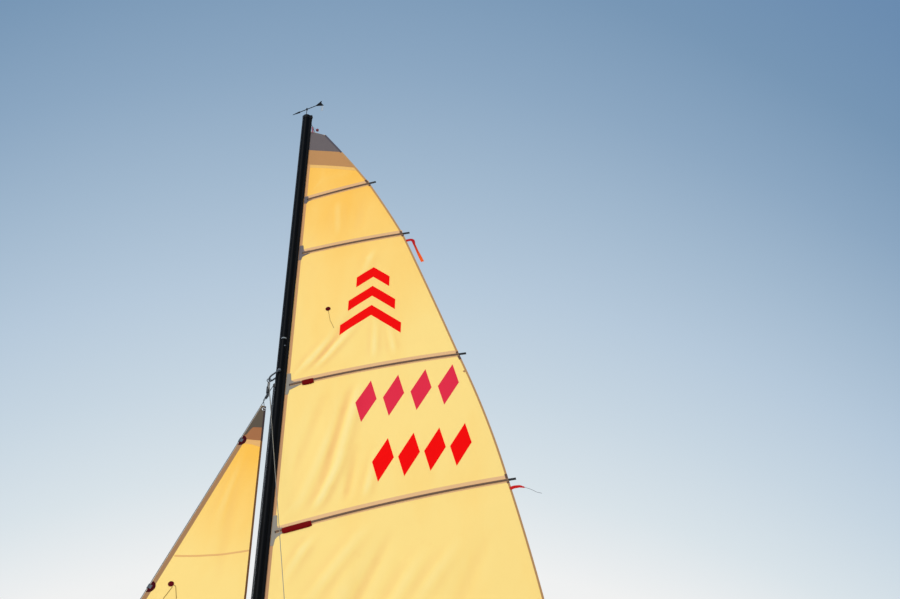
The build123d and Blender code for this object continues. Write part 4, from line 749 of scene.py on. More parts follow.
def lay(name: str, verts: Sequence[Vector], faces: Sequence[Sequence[int]],
        flat: Sequence[Flat] = ()) -> Piece:
    """Makes a sheet from its points and faces.

    Args:
        name: Its name.
        verts: Its points.
        faces: The vertex numbers of each face.
        flat: Each point's place in the flat layout, which becomes the UV map.

    Returns:
        The sheet, still without thickness.
    """
    mesh = bpy.data.meshes.new(name)
    mesh.from_pydata(verts, [], faces)
    if flat:
        layer = mesh.uv_layers.new(name="Layout")
        for loop in mesh.loops:
            layer.data[loop.index].uv = flat[loop.vertex_index]
    return link_object(name, mesh)


def thicken(piece: Piece, thickness: float, offset: float = 0.0) -> None:
    """Gives a sheet its thickness.

    Args:
        piece: The sheet.
        thickness: Its whole thickness.
        offset: Zero for both sides alike, -1 for the back alone.
    """
    wall = piece.modifiers.new("thickness", "SOLIDIFY")
    wall.thickness, wall.offset = thickness, offset
    choose(piece)
    bpy.ops.object.modifier_apply(modifier=wall.name)


def cloth_piece(name: str, cloth: Cloth, points: Sequence[Flat], faces: Sequence[Sequence[int]],
                lift: float, thickness: float) -> Piece:
    """Lays a flat mesh onto the cloth and gives it its thickness.

    Args:
        name: Its name.
        cloth: The surface that it lies on.
        points: Distance aft and height of each vertex.
        faces: The vertex numbers of each face.
        lift: How far the piece's middle stands off the cloth's.
        thickness: The piece's whole thickness.

    Returns:
        The closed piece, with its flat layout as UV map.
    """
    piece = lay(name, [cloth.at(aft, up, lift) for aft, up in points], faces, points)
    # each point's bend, which places the folds' painted highlight and painted shade
    bends = piece.data.attributes.new("Crease", "FLOAT", "POINT")
    for index, (aft, up) in enumerate(points):
        bends.data[index].value = cloth.crease(aft, up)
    thicken(piece, thickness)
    return smooth(piece, 35.0)


def cut_polygon(outline: Sequence[Flat], pitch: float) -> tuple[list[Flat], list[list[int]]]:
    """Cuts a flat outline by a grid, so that it can follow a curved cloth.

    Args:
        outline: The corners in order.
        pitch: The grid's spacing.

    Returns:
        The vertices and the faces.
    """
    work = bmesh.new()
    work.faces.new([work.verts.new((aft, up, 0.0)) for aft, up in outline])
    for axis, normal in ((0, (1, 0, 0)), (1, (0, 1, 0))):
        low = min(point[axis] for point in outline)
        high = max(point[axis] for point in outline)
        step = low + pitch
        while step < high - pitch * 0.2:
            place = [0.0, 0.0, 0.0]
            place[axis] = step
            everything = work.verts[:] + work.edges[:] + work.faces[:]
            bmesh.ops.bisect_plane(work, geom=everything, plane_co=place, plane_no=normal,
                                   dist=1e-6)
            step += pitch
    bmesh.ops.triangulate(work, faces=[face for face in work.faces if len(face.verts) > 4])
    work.normal_update()
    work.verts.index_update()
    points = [(vert.co.x, vert.co.y) for vert in work.verts]
    faces = [[vert.index for vert in face.verts] for face in work.faces]
    work.free()
    return points, faces


# Hard pieces, made with Blender's own tools

def settle(name: str, finish: Finish, degrees: float = 40.0) -> Piece:
    """Names the active piece, applies its place, turn and size, and gives it its finish.

    Args:
        name: Its name.
        finish: Its finish.
        degrees: Edges that turn less than this are shaded smooth.

    Returns:
        The piece, at the origin.
    """
    piece = bpy.context.object
    piece.name = piece.data.name = name
    bpy.ops.object.transform_apply(location=True, rotation=True, scale=True)
    return coat(smooth(piece, degrees), finish)


def turn_to(direction: Vector) -> Triple:
    """The turn that takes +Z to a direction."""
    return tuple(direction.to_track_quat("Z", "Y").to_euler())


def bar(name: str, start: Vector, end: Vector, radius: float, finish: Finish, sides: int = 16,
        end_radius: float | None = None) -> Piece:
    """A round bar between two points, or a cone.

    Args:
        name: Its name.
        start: The middle of one end.
        end: The middle of the other.
        radius: The radius at the start.
        finish: Its finish.
        sides: How many flats it is drawn with.
        end_radius: The radius at the end, where it differs.

    Returns:
        The bar.
    """
    run = end - start
    deselect()
    bpy.ops.mesh.primitive_cone_add(
        vertices=sides, radius1=radius, radius2=radius if end_radius is None else end_radius,
        depth=run.length, location=(start + end) / 2, rotation=turn_to(run))
    return settle(name, finish, 50.0)


def ring(name: str, centre: Vector, axis: Vector, radius: float, thickness: float,
         finish: Finish) -> Piece:
    """A round ring about an axis.

    Args:
        name: Its name.
        centre: Its centre.
        axis: The direction that its hole faces.
        radius: The radius of its middle line.
        thickness: The radius of its wire.
        finish: Its finish.

    Returns:
        The ring.
    """
    deselect()
    bpy.ops.mesh.primitive_torus_add(
        major_radius=radius, minor_radius=thickness, major_segments=32, minor_segments=8,
        location=centre, rotation=turn_to(axis))
    return settle(name, finish, 60.0)


def ball(name: str, centre: Vector, radius: float, finish: Finish) -> Piece:
    """A round ball.

    Args:
        name: Its name.
        centre: Its centre.
        radius: Its radius.
        finish: Its finish.

    Returns:
        The ball.
    """
    deselect()
    bpy.ops.mesh.primitive_uv_sphere_add(segments=24, ring_count=14, radius=radius, location=centre)
    return settle(name, finish, 80.0)


def hex_bolt(seat: Vector, axis: Vector, radius: float) -> Piece:
    """A stainless hexagon bolt head on its washer, standing on a surface.

    Args:
        seat: The middle of the washer's underside.
        axis: The direction away from the surface.
        radius: The head's radius, which the washer's height and width follow.

    Returns:
        The head and washer as one piece.
    """
    away = axis * radius
    washer_top = seat + away * 0.28
    washer = bar("washer", seat, washer_top, radius * 1.35, STAINLESS, 24)
    return join("bolt", [bar("bolt", washer_top, seat + away * 1.25, radius, STAINLESS, 6), washer])


def join(name: str, pieces: Sequence[Piece]) -> Piece:
    """Makes one piece of several, with all their finishes.

    Args:
        name: The name of the whole.
        pieces: The pieces, the main one first.

    Returns:
        The whole.
    """
    deselect()
    for piece in pieces:
        piece.select_set(True)
    whole = pieces[0]
    bpy.context.view_layer.objects.active = whole
    bpy.ops.object.join()
    whole.name = whole.data.name = name
    return whole


def copies(name: str, first: Piece, steps: Sequence[Vector]) -> Piece:
    """Repeats a piece at several offsets and joins it all, with the first one left out.

    Args:
        name: The name of the whole.
        first: The piece that is repeated, which goes away.
        steps: The offset of each copy.

    Returns:
        The copies as one piece.
    """
    made = []
    for step in steps:
        copy = link_object(first.name, first.data.copy())
        copy.location = step
        made.append(copy)
    bpy.data.objects.remove(first)
    whole = join(name, made)
    choose(whole)
    bpy.ops.object.transform_apply(location=True, rotation=False, scale=False)
    return whole


def line(name: str, points: Sequence[Vector], radius: float, finish: Finish) -> Piece:
    """A taut line in straight runs.

    Args:
        name: Its name.
        points: The points that it follows.
        radius: Its radius.
        finish: Its finish.

    Returns:
        The line as a mesh.
    """
    data = bpy.data.curves.new(name, "CURVE")
    data.dimensions = "3D"
    data.bevel_depth = radius
    data.bevel_resolution = 3
    data.use_fill_caps = True
    spline = data.splines.new("POLY")
    spline.points.add(len(points) - 1)
    for target, point in zip(spline.points, points):
        target.co = (*point, 1.0)
    choose(link_object(name, data))
    bpy.ops.object.convert(target="MESH")
    return coat(smooth(bpy.context.object, 60.0), finish)


# The sails

@dataclass
class Sail:
    """A sail: its curved cloth, and everything that is sewn to it."""

    layout: Layout
    chord: float  # of the cloth's arc
    camber: float  # the arc's depth towards port
    clew: Flat  # aft and up
    head: Flat  # aft and up
    tack_up: float
    head_luff: float
    grey_leech: float  # where the leech's tape turns grey
    folds: tuple[Fold, ...]
    rings: tuple[tuple[str, Flat], ...]  # name and place
    ring_size: Flat  # radius, wire radius
    columns: int  # faces from luff to leech
    # each: height at the luff, leech point aft and up, bulge of the leech above it
    battens: tuple[tuple[float, float, float, float], ...] = ()
    luff_gap: float = 0.0  # from the line to the cloth
    thickness: float = 0.0012  # of one layer
    tape_pitch: float = 0.03  # between the cuts of tapes and large patches
    fine_pitch: float = 0.012  # between those of small ones
    stuck_gap: float = 0.0008  # from the cloth's face to the middle of what is stuck on it
    pieces: list[Piece] = field(default_factory=list)

    def __post_init__(self) -> None:
        """Hangs the cloth on its line."""
        self.cloth = Cloth(self.layout, self.chord, self.camber, self.folds,
                           [batten[:3] for batten in self.battens])

    def rows(self) -> list[tuple[float, Flat]]:
        """The height at the luff and the leech point of each row of the cloth, from the foot up."""
        raise NotImplementedError

    def area(self) -> float:
        """The cloth's area, from the strips between its rows."""
        rows = self.rows()
        return sum((b[0] - a[0] + b[1][1] - a[1][1]) / 2 * (a[1][0] + b[1][0] - 2 * self.luff_gap) / 2
                   for a, b in zip(rows, rows[1:]))

    def sew(self, name: str, outline: Sequence[Flat], thickness: float, finish: Finish,
            lift: float = 0.0, pitch: float = 0.03) -> None:
        """Sews a flat patch on the cloth."""
        shape = cut_polygon(outline, pitch)
        self.pieces.append(coat(cloth_piece(name, self.cloth, *shape, lift, thickness), finish))

    def strip(self, name: str, course: Sequence[Flat], width: float, thickness: float,
              finish: Finish, lift: float = 0.0) -> Piece:
        """A tape of even width along a line on the cloth.

        Args:
            name: Its name.
            course: Its middle line.
            width: Its width.
            thickness: Its thickness.
            finish: Its finish.
            lift: How far its middle stands off the cloth's.

        Returns:
            The tape.
        """
        dense: list[Vector] = []
        for start, end in zip(course, course[1:]):
            first, last = Vector(start), Vector(end)
            count = max(1, round((last - first).length / self.tape_pitch))
            dense += [first.lerp(last, index / count) for index in range(count)]
        dense.append(Vector(course[-1]))
        points: list[Flat] = []
        for index, point in enumerate(dense):
            before, after = dense[max(0, index - 1)], dense[min(len(dense) - 1, index + 1)]
            run = (after - before).normalized()
            across = Vector((-run.y, run.x)) * width / 2
            points += [tuple(point - across), tuple(point + across)]
        faces = [(2 * i, 2 * i + 1, 2 * i + 3, 2 * i + 2) for i in range(len(dense) - 1)]
        return coat(cloth_piece(name, self.cloth, points, faces, lift, thickness), finish)

    def tape(self, name: str, course: Sequence[Flat], width: float, thickness: float,
             finish: Finish, lift: float = 0.0) -> None:
        """Sews a tape on the cloth."""
        self.pieces.append(self.strip(name, course, width, thickness, finish, lift))

    def tape_leech(self, name: str, inset: float, width: float,
                   kinds: Sequence[tuple[float, Finish]]) -> None:
        """Sews the tape along the leech, the last part of it beside the head's grey layers.

        Args:
            name: The tape's name.
            inset: How far its middle lies in from the leech.
            width: Its width.
            kinds: Thickness and finish of its long lower part and of its upper part.
        """
        edge = [(aft - inset, up) for _, (aft, up) in self.rows()]
        turn = next(index for index, (_, up) in enumerate(edge) if up > self.grey_leech)
        courses = (edge[:turn + 1], edge[turn:])
        for full_name, course, (thickness, finish) in zip((name, f"{name}_grey"), courses, kinds):
            self.tape(full_name, course, width, thickness, finish)

    def double(self, layers: Sequence[tuple[str, Flat, Sequence[Flat], float, Finish]],
               pitch: float = 0.03) -> None:
        """Sews doubled layers on, each counted from a corner of the sail."""
        for name, (corner_aft, corner_up), outline, extra, finish in layers:
            self.sew(name, [(corner_aft + aft, corner_up + up) for aft, up in outline],
                     self.thickness + extra, finish, pitch=pitch)

    def dot(self, name: str, place: Flat, radius: float, finish: Finish) -> None:
        """Sticks a small round patch on the port face."""
        outline = [(place[0] + radius * math.cos(turn), place[1] + radius * math.sin(turn))
                   for turn in (math.tau * step / 18 for step in range(18))]
        self.sew(name, outline, 0.0012, finish, self.on_face, self.fine_pitch)

    @property
    def on_face(self) -> float:
        """How far off the cloth's middle a thing stuck on its port face lies."""
        return self.thickness / 2 + self.stuck_gap

    def build_rings(self) -> None:
        """Presses steel rings into the sail's corners."""
        for name, place in self.rings:
            self.pieces.append(ring(name, self.cloth.at(*place), TO_PORT, *self.ring_size, STAINLESS))


@dataclass
class Mainsail(Sail):
    """The full-battened mainsail with everything that is sewn to it."""

    layout: Layout = TRACK
    chord: float = 2.150
    camber: float = 0.090
    clew: Flat = (2.070, 0.745)
    head: Flat = (0.120, 7.969)
    tack_up: float = 0.690
    head_luff: float = 8.029
    grey_leech: float = 7.770
    rings: tuple[tuple[str, Flat], ...] = (("main_tack_ring", (0.050, 0.745)),
                                           ("main_clew_ring", (2.012, 0.800)))
    ring_size: Flat = (0.012, 0.0035)
    columns: int = 84
    crowding: float = 1.12  # columns stand closer near the luff
    row_height: float = 0.024
    battens: tuple[tuple[float, float, float, float], ...] = (
        (7.324, 0.465, 7.442, 0.003),
        (6.820, 0.717, 6.947, 0.003),
        (5.694, 1.111, 5.897, 0.017),
        (4.599, 1.419, 4.945, 0.011),
        (3.430, 1.690, 3.775, 0.009),
        (2.240, 1.905, 2.565, 0.009),
    )
    folds: tuple[Fold, ...] = (
        ((0.245, 4.690), (0.370, 5.041), 0.010, 0.034), ((0.370, 5.041), (0.470, 5.600), 0.009, 0.040),
        ((0.300, 5.050), (0.412, 5.592), -0.006, 0.036), ((0.150, 4.760), (0.330, 5.330), 0.006, 0.045),
        ((0.548, 4.746), (0.590, 5.040), 0.006, 0.030), ((0.433, 4.764), (0.470, 5.080), -0.005, 0.032),
        ((0.120, 5.050), (0.250, 5.560), -0.005, 0.050), ((0.080, 5.790), (0.269, 6.050), 0.007, 0.035),
        ((0.200, 5.870), (0.361, 6.188), -0.006, 0.035), ((0.146, 5.764), (0.380, 6.090), 0.007, 0.028),
        ((0.566, 5.800), (0.560, 6.110), 0.004, 0.024), ((0.700, 5.871), (0.665, 6.060), 0.004, 0.024),
        ((0.250, 4.557), (0.150, 4.360), 0.007, 0.035), ((0.518, 4.529), (0.300, 4.190), 0.008, 0.045),
        ((0.678, 4.470), (0.500, 4.020), -0.007, 0.045), ((0.875, 4.354), (0.700, 4.020), 0.008, 0.050),
        ((1.067, 4.420), (0.900, 4.130), 0.006, 0.045), ((1.260, 4.480), (1.100, 4.050), -0.005, 0.060),
        ((0.520, 6.816), (0.470, 6.640), 0.005, 0.035), ((0.248, 7.284), (0.266, 6.979), 0.003, 0.040),
        ((0.420, 7.250), (0.400, 6.990), -0.003, 0.050), ((0.240, 3.520), (0.480, 4.280), 0.008, 0.060),
        ((0.520, 3.600), (0.760, 4.250), -0.006, 0.070), ((0.220, 2.330), (0.560, 3.200), 0.009, 0.070),
        ((0.620, 2.450), (0.900, 3.250), -0.007, 0.080), ((0.160, 0.820), (0.620, 1.900), 0.010, 0.090),
        ((0.500, 0.860), (0.960, 1.960), -0.008, 0.090), ((1.900, 0.860), (1.350, 1.900), 0.010, 0.100),
    )
    luff_tape: Flat = (0.0175, 0.0175)  # middle, width
    layers_from: float = 0.0088  # clear of the track's lips
    head_layers: Flat = (7.684, 7.831)  # where tan and grey start
    pocket_from: float = 0.034
    # above the batten and off the cloth, from the upper edge down
    pocket_section: tuple[Flat, ...] = (
        (0.036, 0.0011), (0.0098, 0.0014), (0.0082, 0.0050), (0.0066, 0.0062),
        (-0.0066, 0.0062), (-0.0082, 0.0050), (-0.0098, 0.0014), (-0.017, 0.0011))
    # each: batten, reach aft, half height, half height of the tab
    luff_patches: tuple[tuple[int, float, float, float], ...] = (
        (0, 0.062, 0.028, 0.010), (1, 0.080, 0.054, 0.014), (2, 0.096, 0.068, 0.016),
        (3, 0.074, 0.086, 0.018), (4, 0.090, 0.088, 0.018), (5, 0.095, 0.090, 0.018))
    # each: batten, start and end
    sleeves: tuple[tuple[int, float, float], ...] = (
        (2, 0.111, 0.185), (3, 0.071, 0.245), (4, 0.080, 0.230), (5, 0.080, 0.230))
    sleeve_size: Flat = (0.0215, 0.0062)  # half height, half thickness
    sleeve_place: Flat = (-0.0070, 0.0028)  # above the batten, off the cloth
    peak_foot: Flat = (0.530, 6.080)  # middle, foot
    # each: half width, rise above the lowest
    peaks: tuple[Flat, ...] = ((0.200, 0.0), (0.155, 0.200), (0.110, 0.400))
    peak_bar: float = 0.085  # the bars' height
    peak_pitch: float = 0.78  # rise over half width
    # each: first middle, pitch, side that it is stuck on
    lozenge_rows: tuple[tuple[Flat, float, Side], ...] = (
        ((0.530, 5.535), 0.172, Side.STARBOARD), ((0.655, 5.085), 0.158, Side.PORT))
    lozenge_half: Flat = (0.066, 0.160)  # half width, half height
    lozenge_lean: float = -0.024  # of its foot, aft
    row_climb: float = 0.235  # of a row, on its way aft
    telltale: Flat = (0.2417, 6.3086)
    thread: tuple[Flat, ...] = ((0.2617, 6.2086), (0.291, 6.143))
    leech_spot: Flat = (1.146, 5.761)
    # each: name, course, roll in degrees at each point, width
    ribbons: tuple[tuple[str, tuple[Flat, ...], tuple[float, ...], float], ...] = (
        ("leech_ribbon_2", ((0.742, 6.880), (0.771, 6.889), (0.789, 6.880), (0.801, 6.836),
                            (0.823, 6.774), (0.858, 6.688)), (0, 0, 15, 62, 54, 0), 0.021),
        ("leech_ribbon_4", ((1.428, 4.882), (1.451, 4.894), (1.485, 4.901), (1.515, 4.895)),
         (0, 0, -12, -38), 0.021),
    )
    leech_thread: tuple[Flat, ...] = ((1.511, 4.898), (1.554, 4.883), (1.587, 4.866), (1.619, 4.860))

    def rows(self) -> list[tuple[float, Flat]]:
        """The height at the luff and the leech point of each row of the cloth, from the foot up.

        Returns:
            The rows, closest together where two battens leave room for only a few.
        """
        marks = [(self.tack_up, self.clew, 0.0)]
        marks += [(luff, (aft, up), bulge) for luff, aft, up, bulge in reversed(self.battens)]
        marks.append((self.head_luff, self.head, self.battens[0][3]))
        rows: list[tuple[float, Flat]] = []
        for (low_luff, low, _), (high_luff, high, bulge) in zip(marks, marks[1:]):
            rise = high_luff - low_luff
            count = max(4, round(rise / self.row_height))
            first = Vector(low)
            run = Vector(high) - first
            aftward = Vector((run.y, -run.x)).normalized()
            for share in (step / count for step in range(count)):
                point = first + run * share + aftward * bulge * 4 * share * (1 - share)
                rows.append((low_luff + rise * share, (point.x, point.y)))
        rows.append((self.head_luff, self.head))
        return rows

    def batten_point(self, number: int, aft: float, above: float = 0.0) -> Flat:
        """A point on or above a batten's line.

        Args:
            number: The batten, counted from 0 at the head.
            aft: How far aft the point is.
            above: How far it is off the line.

        Returns:
            The point in the flat layout.
        """
        luff, leech_aft, leech_up, _ = self.battens[number]
        slope = (leech_up - luff) / leech_aft
        size = math.hypot(1.0, slope)
        return (aft - above * slope / size, luff + slope * aft + above / size)

    def build_cloth(self) -> Piece:
        """The golden cloth itself, from the bolt rope to the leech.

        Returns:
            The cloth, in the place of the plain one.
        """
        rows = self.rows()
        shares = [(column / self.columns) ** self.crowding for column in range(self.columns + 1)]
        points = [(aft * share, luff + (up - luff) * share)
                  for luff, (aft, up) in rows for share in shares]
        piece = cloth_piece("main_cloth", self.cloth, points, grid(len(rows) - 1, self.columns), 0.0,
                            self.thickness)
        coat(piece, MAIN_CLOTH, LUFF_TAPE, TAN_LAYERS, GREY_LAYERS)
        # the luff's edge, in the track, is as dark as the layers that start behind it
        flat = piece.data.uv_layers["Layout"].data
        for face in piece.data.polygons:
            corners = [flat[loop].uv for loop in face.loop_indices]
            aft, up = sum(corners, Vector((0.0, 0.0))) / len(corners)
            if aft < self.layers_from:
                face.material_index = 1 + sum(up > above for above in self.head_layers)
        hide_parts("mainsail")
        return piece

    def build_edges(self) -> None:
        """The luff tape with its bolt rope, the leech tape and the foot tape."""
        layer = self.thickness + 0.0012
        middle, width = self.luff_tape
        self.tape("main_luff_tape", [(middle, self.tack_up + 0.004), (middle, self.head_luff - 0.010)],
                  width, layer, LUFF_TAPE)
        self.tape_leech("main_leech_tape", 0.0055, 0.0125,
                        ((layer + 0.0016, LEECH_TAPE), (layer + 0.0018, LEECH_GREY)))
        foot = [(0.03 + (self.clew[0] - 0.04) * index / 40,
                 self.tack_up + 0.008 + (self.clew[1] - self.tack_up) * index / 40)
                for index in range(41)]
        self.tape("main_foot_tape", foot, 0.018, layer, LEECH_TAPE)

    def build_layers(self) -> None:
        """The doubled layers at the head and in the two lower corners."""
        front = self.layers_from
        tan_from, grey_from = self.head_layers
        zero, tack = (0.0, 0.0), (0.0, self.tack_up)
        self.double((
            ("main_head_grey", zero, (
                (front, grey_from), (0.248, 7.775), (0.206, 7.836), (0.162, 7.908), (0.118, 7.966),
                (0.090, 7.983), (front, 8.022)), 0.0022, GREY_LAYERS),
            ("main_head_tan", zero, (
                (front, tan_from), (0.352, 7.607), (0.300, 7.692), (0.248, 7.775),
                (front, grey_from)), 0.0014, TAN_LAYERS),
            ("main_head_pale", zero, (
                (front, 7.655), (0.372, 7.574), (0.352, 7.607), (front, tan_from)),
             0.0008, PALE_LAYERS),
            ("main_tack_grey", tack, (
                (front, 0.006), (0.20, 0.012), (0.17, 0.15), (front, 0.24)), 0.0022, GREY_LAYERS),
            ("main_tack_tan", tack, (
                (front, 0.006), (0.34, 0.016), (0.28, 0.25), (front, 0.42)), 0.0014, TAN_LAYERS),
            ("main_clew_grey", self.clew, (
                (-0.30, -0.002), (-0.004, 0.004), (-0.026, 0.24), (-0.20, 0.16)),
             0.0022, GREY_LAYERS),
            ("main_clew_tan", self.clew, (
                (-0.48, -0.006), (-0.004, 0.004), (-0.044, 0.42), (-0.32, 0.27)),
             0.0014, TAN_LAYERS)))

    def build_pocket(self, number: int) -> None:
        """One batten's pocket: a flat upper hem, the ridge over the batten and a lower hem.

        Args:
            number: The batten, counted from 0 at the head.
        """
        start, end = self.pocket_from, self.battens[number][1] - 0.001
        count = max(6, round((end - start) / 0.03))
        verts, flat = [], []
        for step in range(count + 1):
            aft = start + (end - start) * step / count
            for above, lift in self.pocket_section:
                flat.append(self.batten_point(number, aft, above))
                verts.append(self.cloth.at(*flat[-1], lift))
        across = len(self.pocket_section) - 1
        piece = lay(f"batten_pocket_{number + 1}", verts, grid(count, across), flat)
        coat(piece, POCKET_CLOTH, POCKET_RIDGE)
        for index, face in enumerate(piece.data.polygons):
            face.material_index = int(index % across in (3, 4))
        thicken(piece, 0.0006, -1.0)
        self.pieces.append(smooth(piece, 50.0))
        # a tan strip on the starboard face along each batten: the batten's painted shade on that side of
        # the cloth
        middle = [self.batten_point(number, aft, 0.008) for aft in (start, end)]
        self.tape(f"batten_backing_{number + 1}", middle, 0.050, 0.0008, POCKET_CLOTH, -0.0009)

    def build_luff_patches(self) -> None:
        """The stepped grey patches that spread each batten's load into the luff."""
        front = self.layers_from
        for number, reach, half, tab in self.luff_patches:
            luff = self.battens[number][0]
            outline = [(front, luff - half), (0.028, luff - half), (0.034, luff - half * 0.50),
                       (reach * 0.62, luff - half * 0.30),
                       self.batten_point(number, reach * 1.05, -tab),
                       self.batten_point(number, reach * 1.05, tab),
                       (reach * 0.62, luff + half * 0.42), (0.040, luff + half * 0.62),
                       (0.034, luff + half * 1.45), (front, luff + half * 1.45)]
            self.sew(f"batten_luff_patch_{number + 1}", outline, self.thickness + 0.0030,
                     PALE_GREY if number > 1 else GREY_LAYERS, pitch=self.fine_pitch)

    def build_leech_patches(self) -> None:
        """Dark layers on the leech where the battens come out."""
        for number, (_, _, leech_up, _) in enumerate(self.battens, 1):
            edge = [(aft - 0.0072, up) for _, (aft, up) in self.rows() if abs(up - leech_up) < 0.044]
            self.tape(f"leech_patch_{number}", edge, 0.016, self.thickness + 0.0034, LEECH_DARK)

    def build_sleeves(self) -> None:
        """Dark red chafe sleeves round the front ends of the longer battens."""
        (half_tall, half_thick), (middle_up, middle_lift) = self.sleeve_size, self.sleeve_place
        section = [(half_tall * math.cos(turn) + middle_up, middle_lift + half_thick * math.sin(turn))
                   for turn in (math.tau * step / 16 for step in range(16))]
        wide = len(section)
        for number, start, end in self.sleeves:
            verts, flat = [], []
            count = max(4, round((end - start) / 0.02))
            for step in range(count + 1):
                aft = start + (end - start) * step / count
                shrink = 0.86 if step in (0, count) else 1.0
                for above, lift in section:
                    flat.append(self.batten_point(number, aft, above * shrink))
                    verts.append(self.cloth.at(*flat[-1], lift * shrink))
            faces = [(row + column, row + (column + 1) % wide, row + wide + (column + 1) % wide,
                      row + wide + column)
                     for row in range(0, count * wide, wide) for column in range(wide)]
            faces += [tuple(reversed(range(wide))), tuple(range(count * wide, (count + 1) * wide))]
            piece = lay(f"chafe_sleeve_{number + 1}", verts, faces, flat)
            piece.data.validate()
            work = bmesh.new()
            work.from_mesh(piece.data)
            bmesh.ops.recalc_face_normals(work, faces=work.faces)
            work.to_mesh(piece.data)
            work.free()
            self.pieces.append(coat(smooth(piece, 45.0), CHAFE_RED))

    def mark(self, name: str, outline: Sequence[Flat], stuck_on: Side) -> None:
        """One red shape stuck on a face of the cloth, with its shade on the other face."""
        for side in Side:
            self.sew(f"{name}_{side.label}", outline, 0.0008,
                     RED_CLOTH if side is stuck_on else RED_THROUGH,
                     side.value * (self.thickness / 2 + 0.0005), 0.014)

    def build_marks(self) -> None:
        """Plain red shapes: a stack of peaks above, and two rows of lozenges below."""
        middle, foot = self.peak_foot
        for number, (half, rise) in enumerate(self.peaks, 1):
            low = foot + rise
            peak = low + half * self.peak_pitch
            self.mark(f"peak_mark_{number}", [
                (middle - half, low), (middle, peak), (middle + half, low),
                (middle + half, low + self.peak_bar), (middle, peak + self.peak_bar),
                (middle - half, low + self.peak_bar)], Side.PORT)
        (half_wide, half_tall), lean, climb = self.lozenge_half, self.lozenge_lean, self.row_climb
        for row, ((start_aft, start_up), pitch, stuck_on) in enumerate(self.lozenge_rows, 1):
            for column in range(4):
                aft, up = start_aft + column * pitch, start_up + column * pitch * climb
                self.mark(f"lozenge_{row}_{column + 1}", [
                    (aft - half_wide, up - half_wide * climb), (aft + lean, up - half_tall),
                    (aft + half_wide, up + half_wide * climb), (aft - lean, up + half_tall)],
                    stuck_on)

    def build_telltales(self) -> None:
        """A telltale with its thread, and the small dark spot on the leech."""
        self.dot("telltale_1", self.telltale, 0.017, MAROON)
        self.dot("telltale_2", self.leech_spot, 0.008, LEECH_TAPE)
        self.tape("telltale_thread", [self.telltale, *self.thread], 0.0022, 0.001, WOOL_BROWN,
                  self.on_face)

    def build_head_gear(self) -> None:
        """The shackle, the ball and the lines at the head."""
        head = self.layout.at
        ball_centre = head(0.0532, 8.0412)
        self.pieces += [
            line("head_line", [head(0.0, 8.114), head(0.016, 8.078), head(0.0387, 8.012)], 0.0016,
                 HALYARD),
            bar("head_shackle", head(0.0150, 8.068, 0.003), head(0.0226, 8.006, 0.003), 0.0065,
                PINK_TAPE, 12),
            ball("head_ball", ball_centre, 0.0115, RED_PLASTIC),
            line("head_ball_line", [head(0.004, 8.090), head(0.030, 8.062), ball_centre], 0.0012,
                 PALE_BAND)]

    def twisted(self, name: str, course: Sequence[Flat], rolls: Sequence[float], width: float,
                finish: Finish) -> Piece:
        """A ribbon that turns over as it flies beside the leech.

        Args:
            name: The ribbon's name.
            course: Its middle line in the sail's layout.
            rolls: How far it is turned about that line at each point, in degrees.
            width: Its width.
            finish: Its finish.

        Returns:
            The ribbon.
        """
        verts, flat = [], []
        for start, end, first_roll, last_roll in zip(course, course[1:], rolls, rolls[1:]):
            count = max(2, round(math.dist(start, end) / 0.008))
            run = (Vector(end) - Vector(start)).normalized()
            for step in range(count + (end is course[-1])):
                share = step / count
                middle = Vector(start).lerp(Vector(end), share)
                roll = math.radians(first_roll + (last_roll - first_roll) * share)
                for half in (-width / 2, width / 2):
                    place = middle + Vector((-run.y, run.x)) * half * math.cos(roll)
                    flat.append(tuple(middle))
                    verts.append(self.cloth.at(place.x, place.y, 0.004 + half * math.sin(roll)))
        faces = [(row, row + 1, row + 3, row + 2) for row in range(0, len(verts) - 2, 2)]
        piece = lay(name, verts, faces, flat)
        thicken(piece, 0.0006)
        return coat(smooth(piece, 60.0), finish)

    def build_ribbons(self) -> None:
        """The red ribbons that fly from two battens at the leech, each a sheet of its own."""
        thread = self.strip("leech_thread", self.leech_thread, 0.0022, 0.0006, LEECH_GREY, 0.004)
        report(thread, "boom")
        for (name, course, rolls, width), ends, finish in zip(self.ribbons, ((), (thread,)),
                                                              (RIBBON_RED, RIBBON_DARK)):
            piece = self.twisted(name, course, rolls, width, finish)
            report(piece, "boom")
            length = sum(math.dist(a, b) for a, b in zip(course, course[1:]))
            list(ends)

    def build(self) -> None:
        cloth = self.build_cloth()
        self.build_edges()
        self.build_layers()
        for number in range(len(self.battens)):
            self.build_pocket(number)
        self.build_luff_patches()
        self.build_leech_patches()
        self.build_sleeves()
        self.build_marks()
        self.build_telltales()
        self.build_rings()
        self.build_head_gear()
        for piece in (cloth, *self.pieces):
            report(piece, "boom")
        self.area()
        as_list(self.pieces)
        self.build_ribbons()


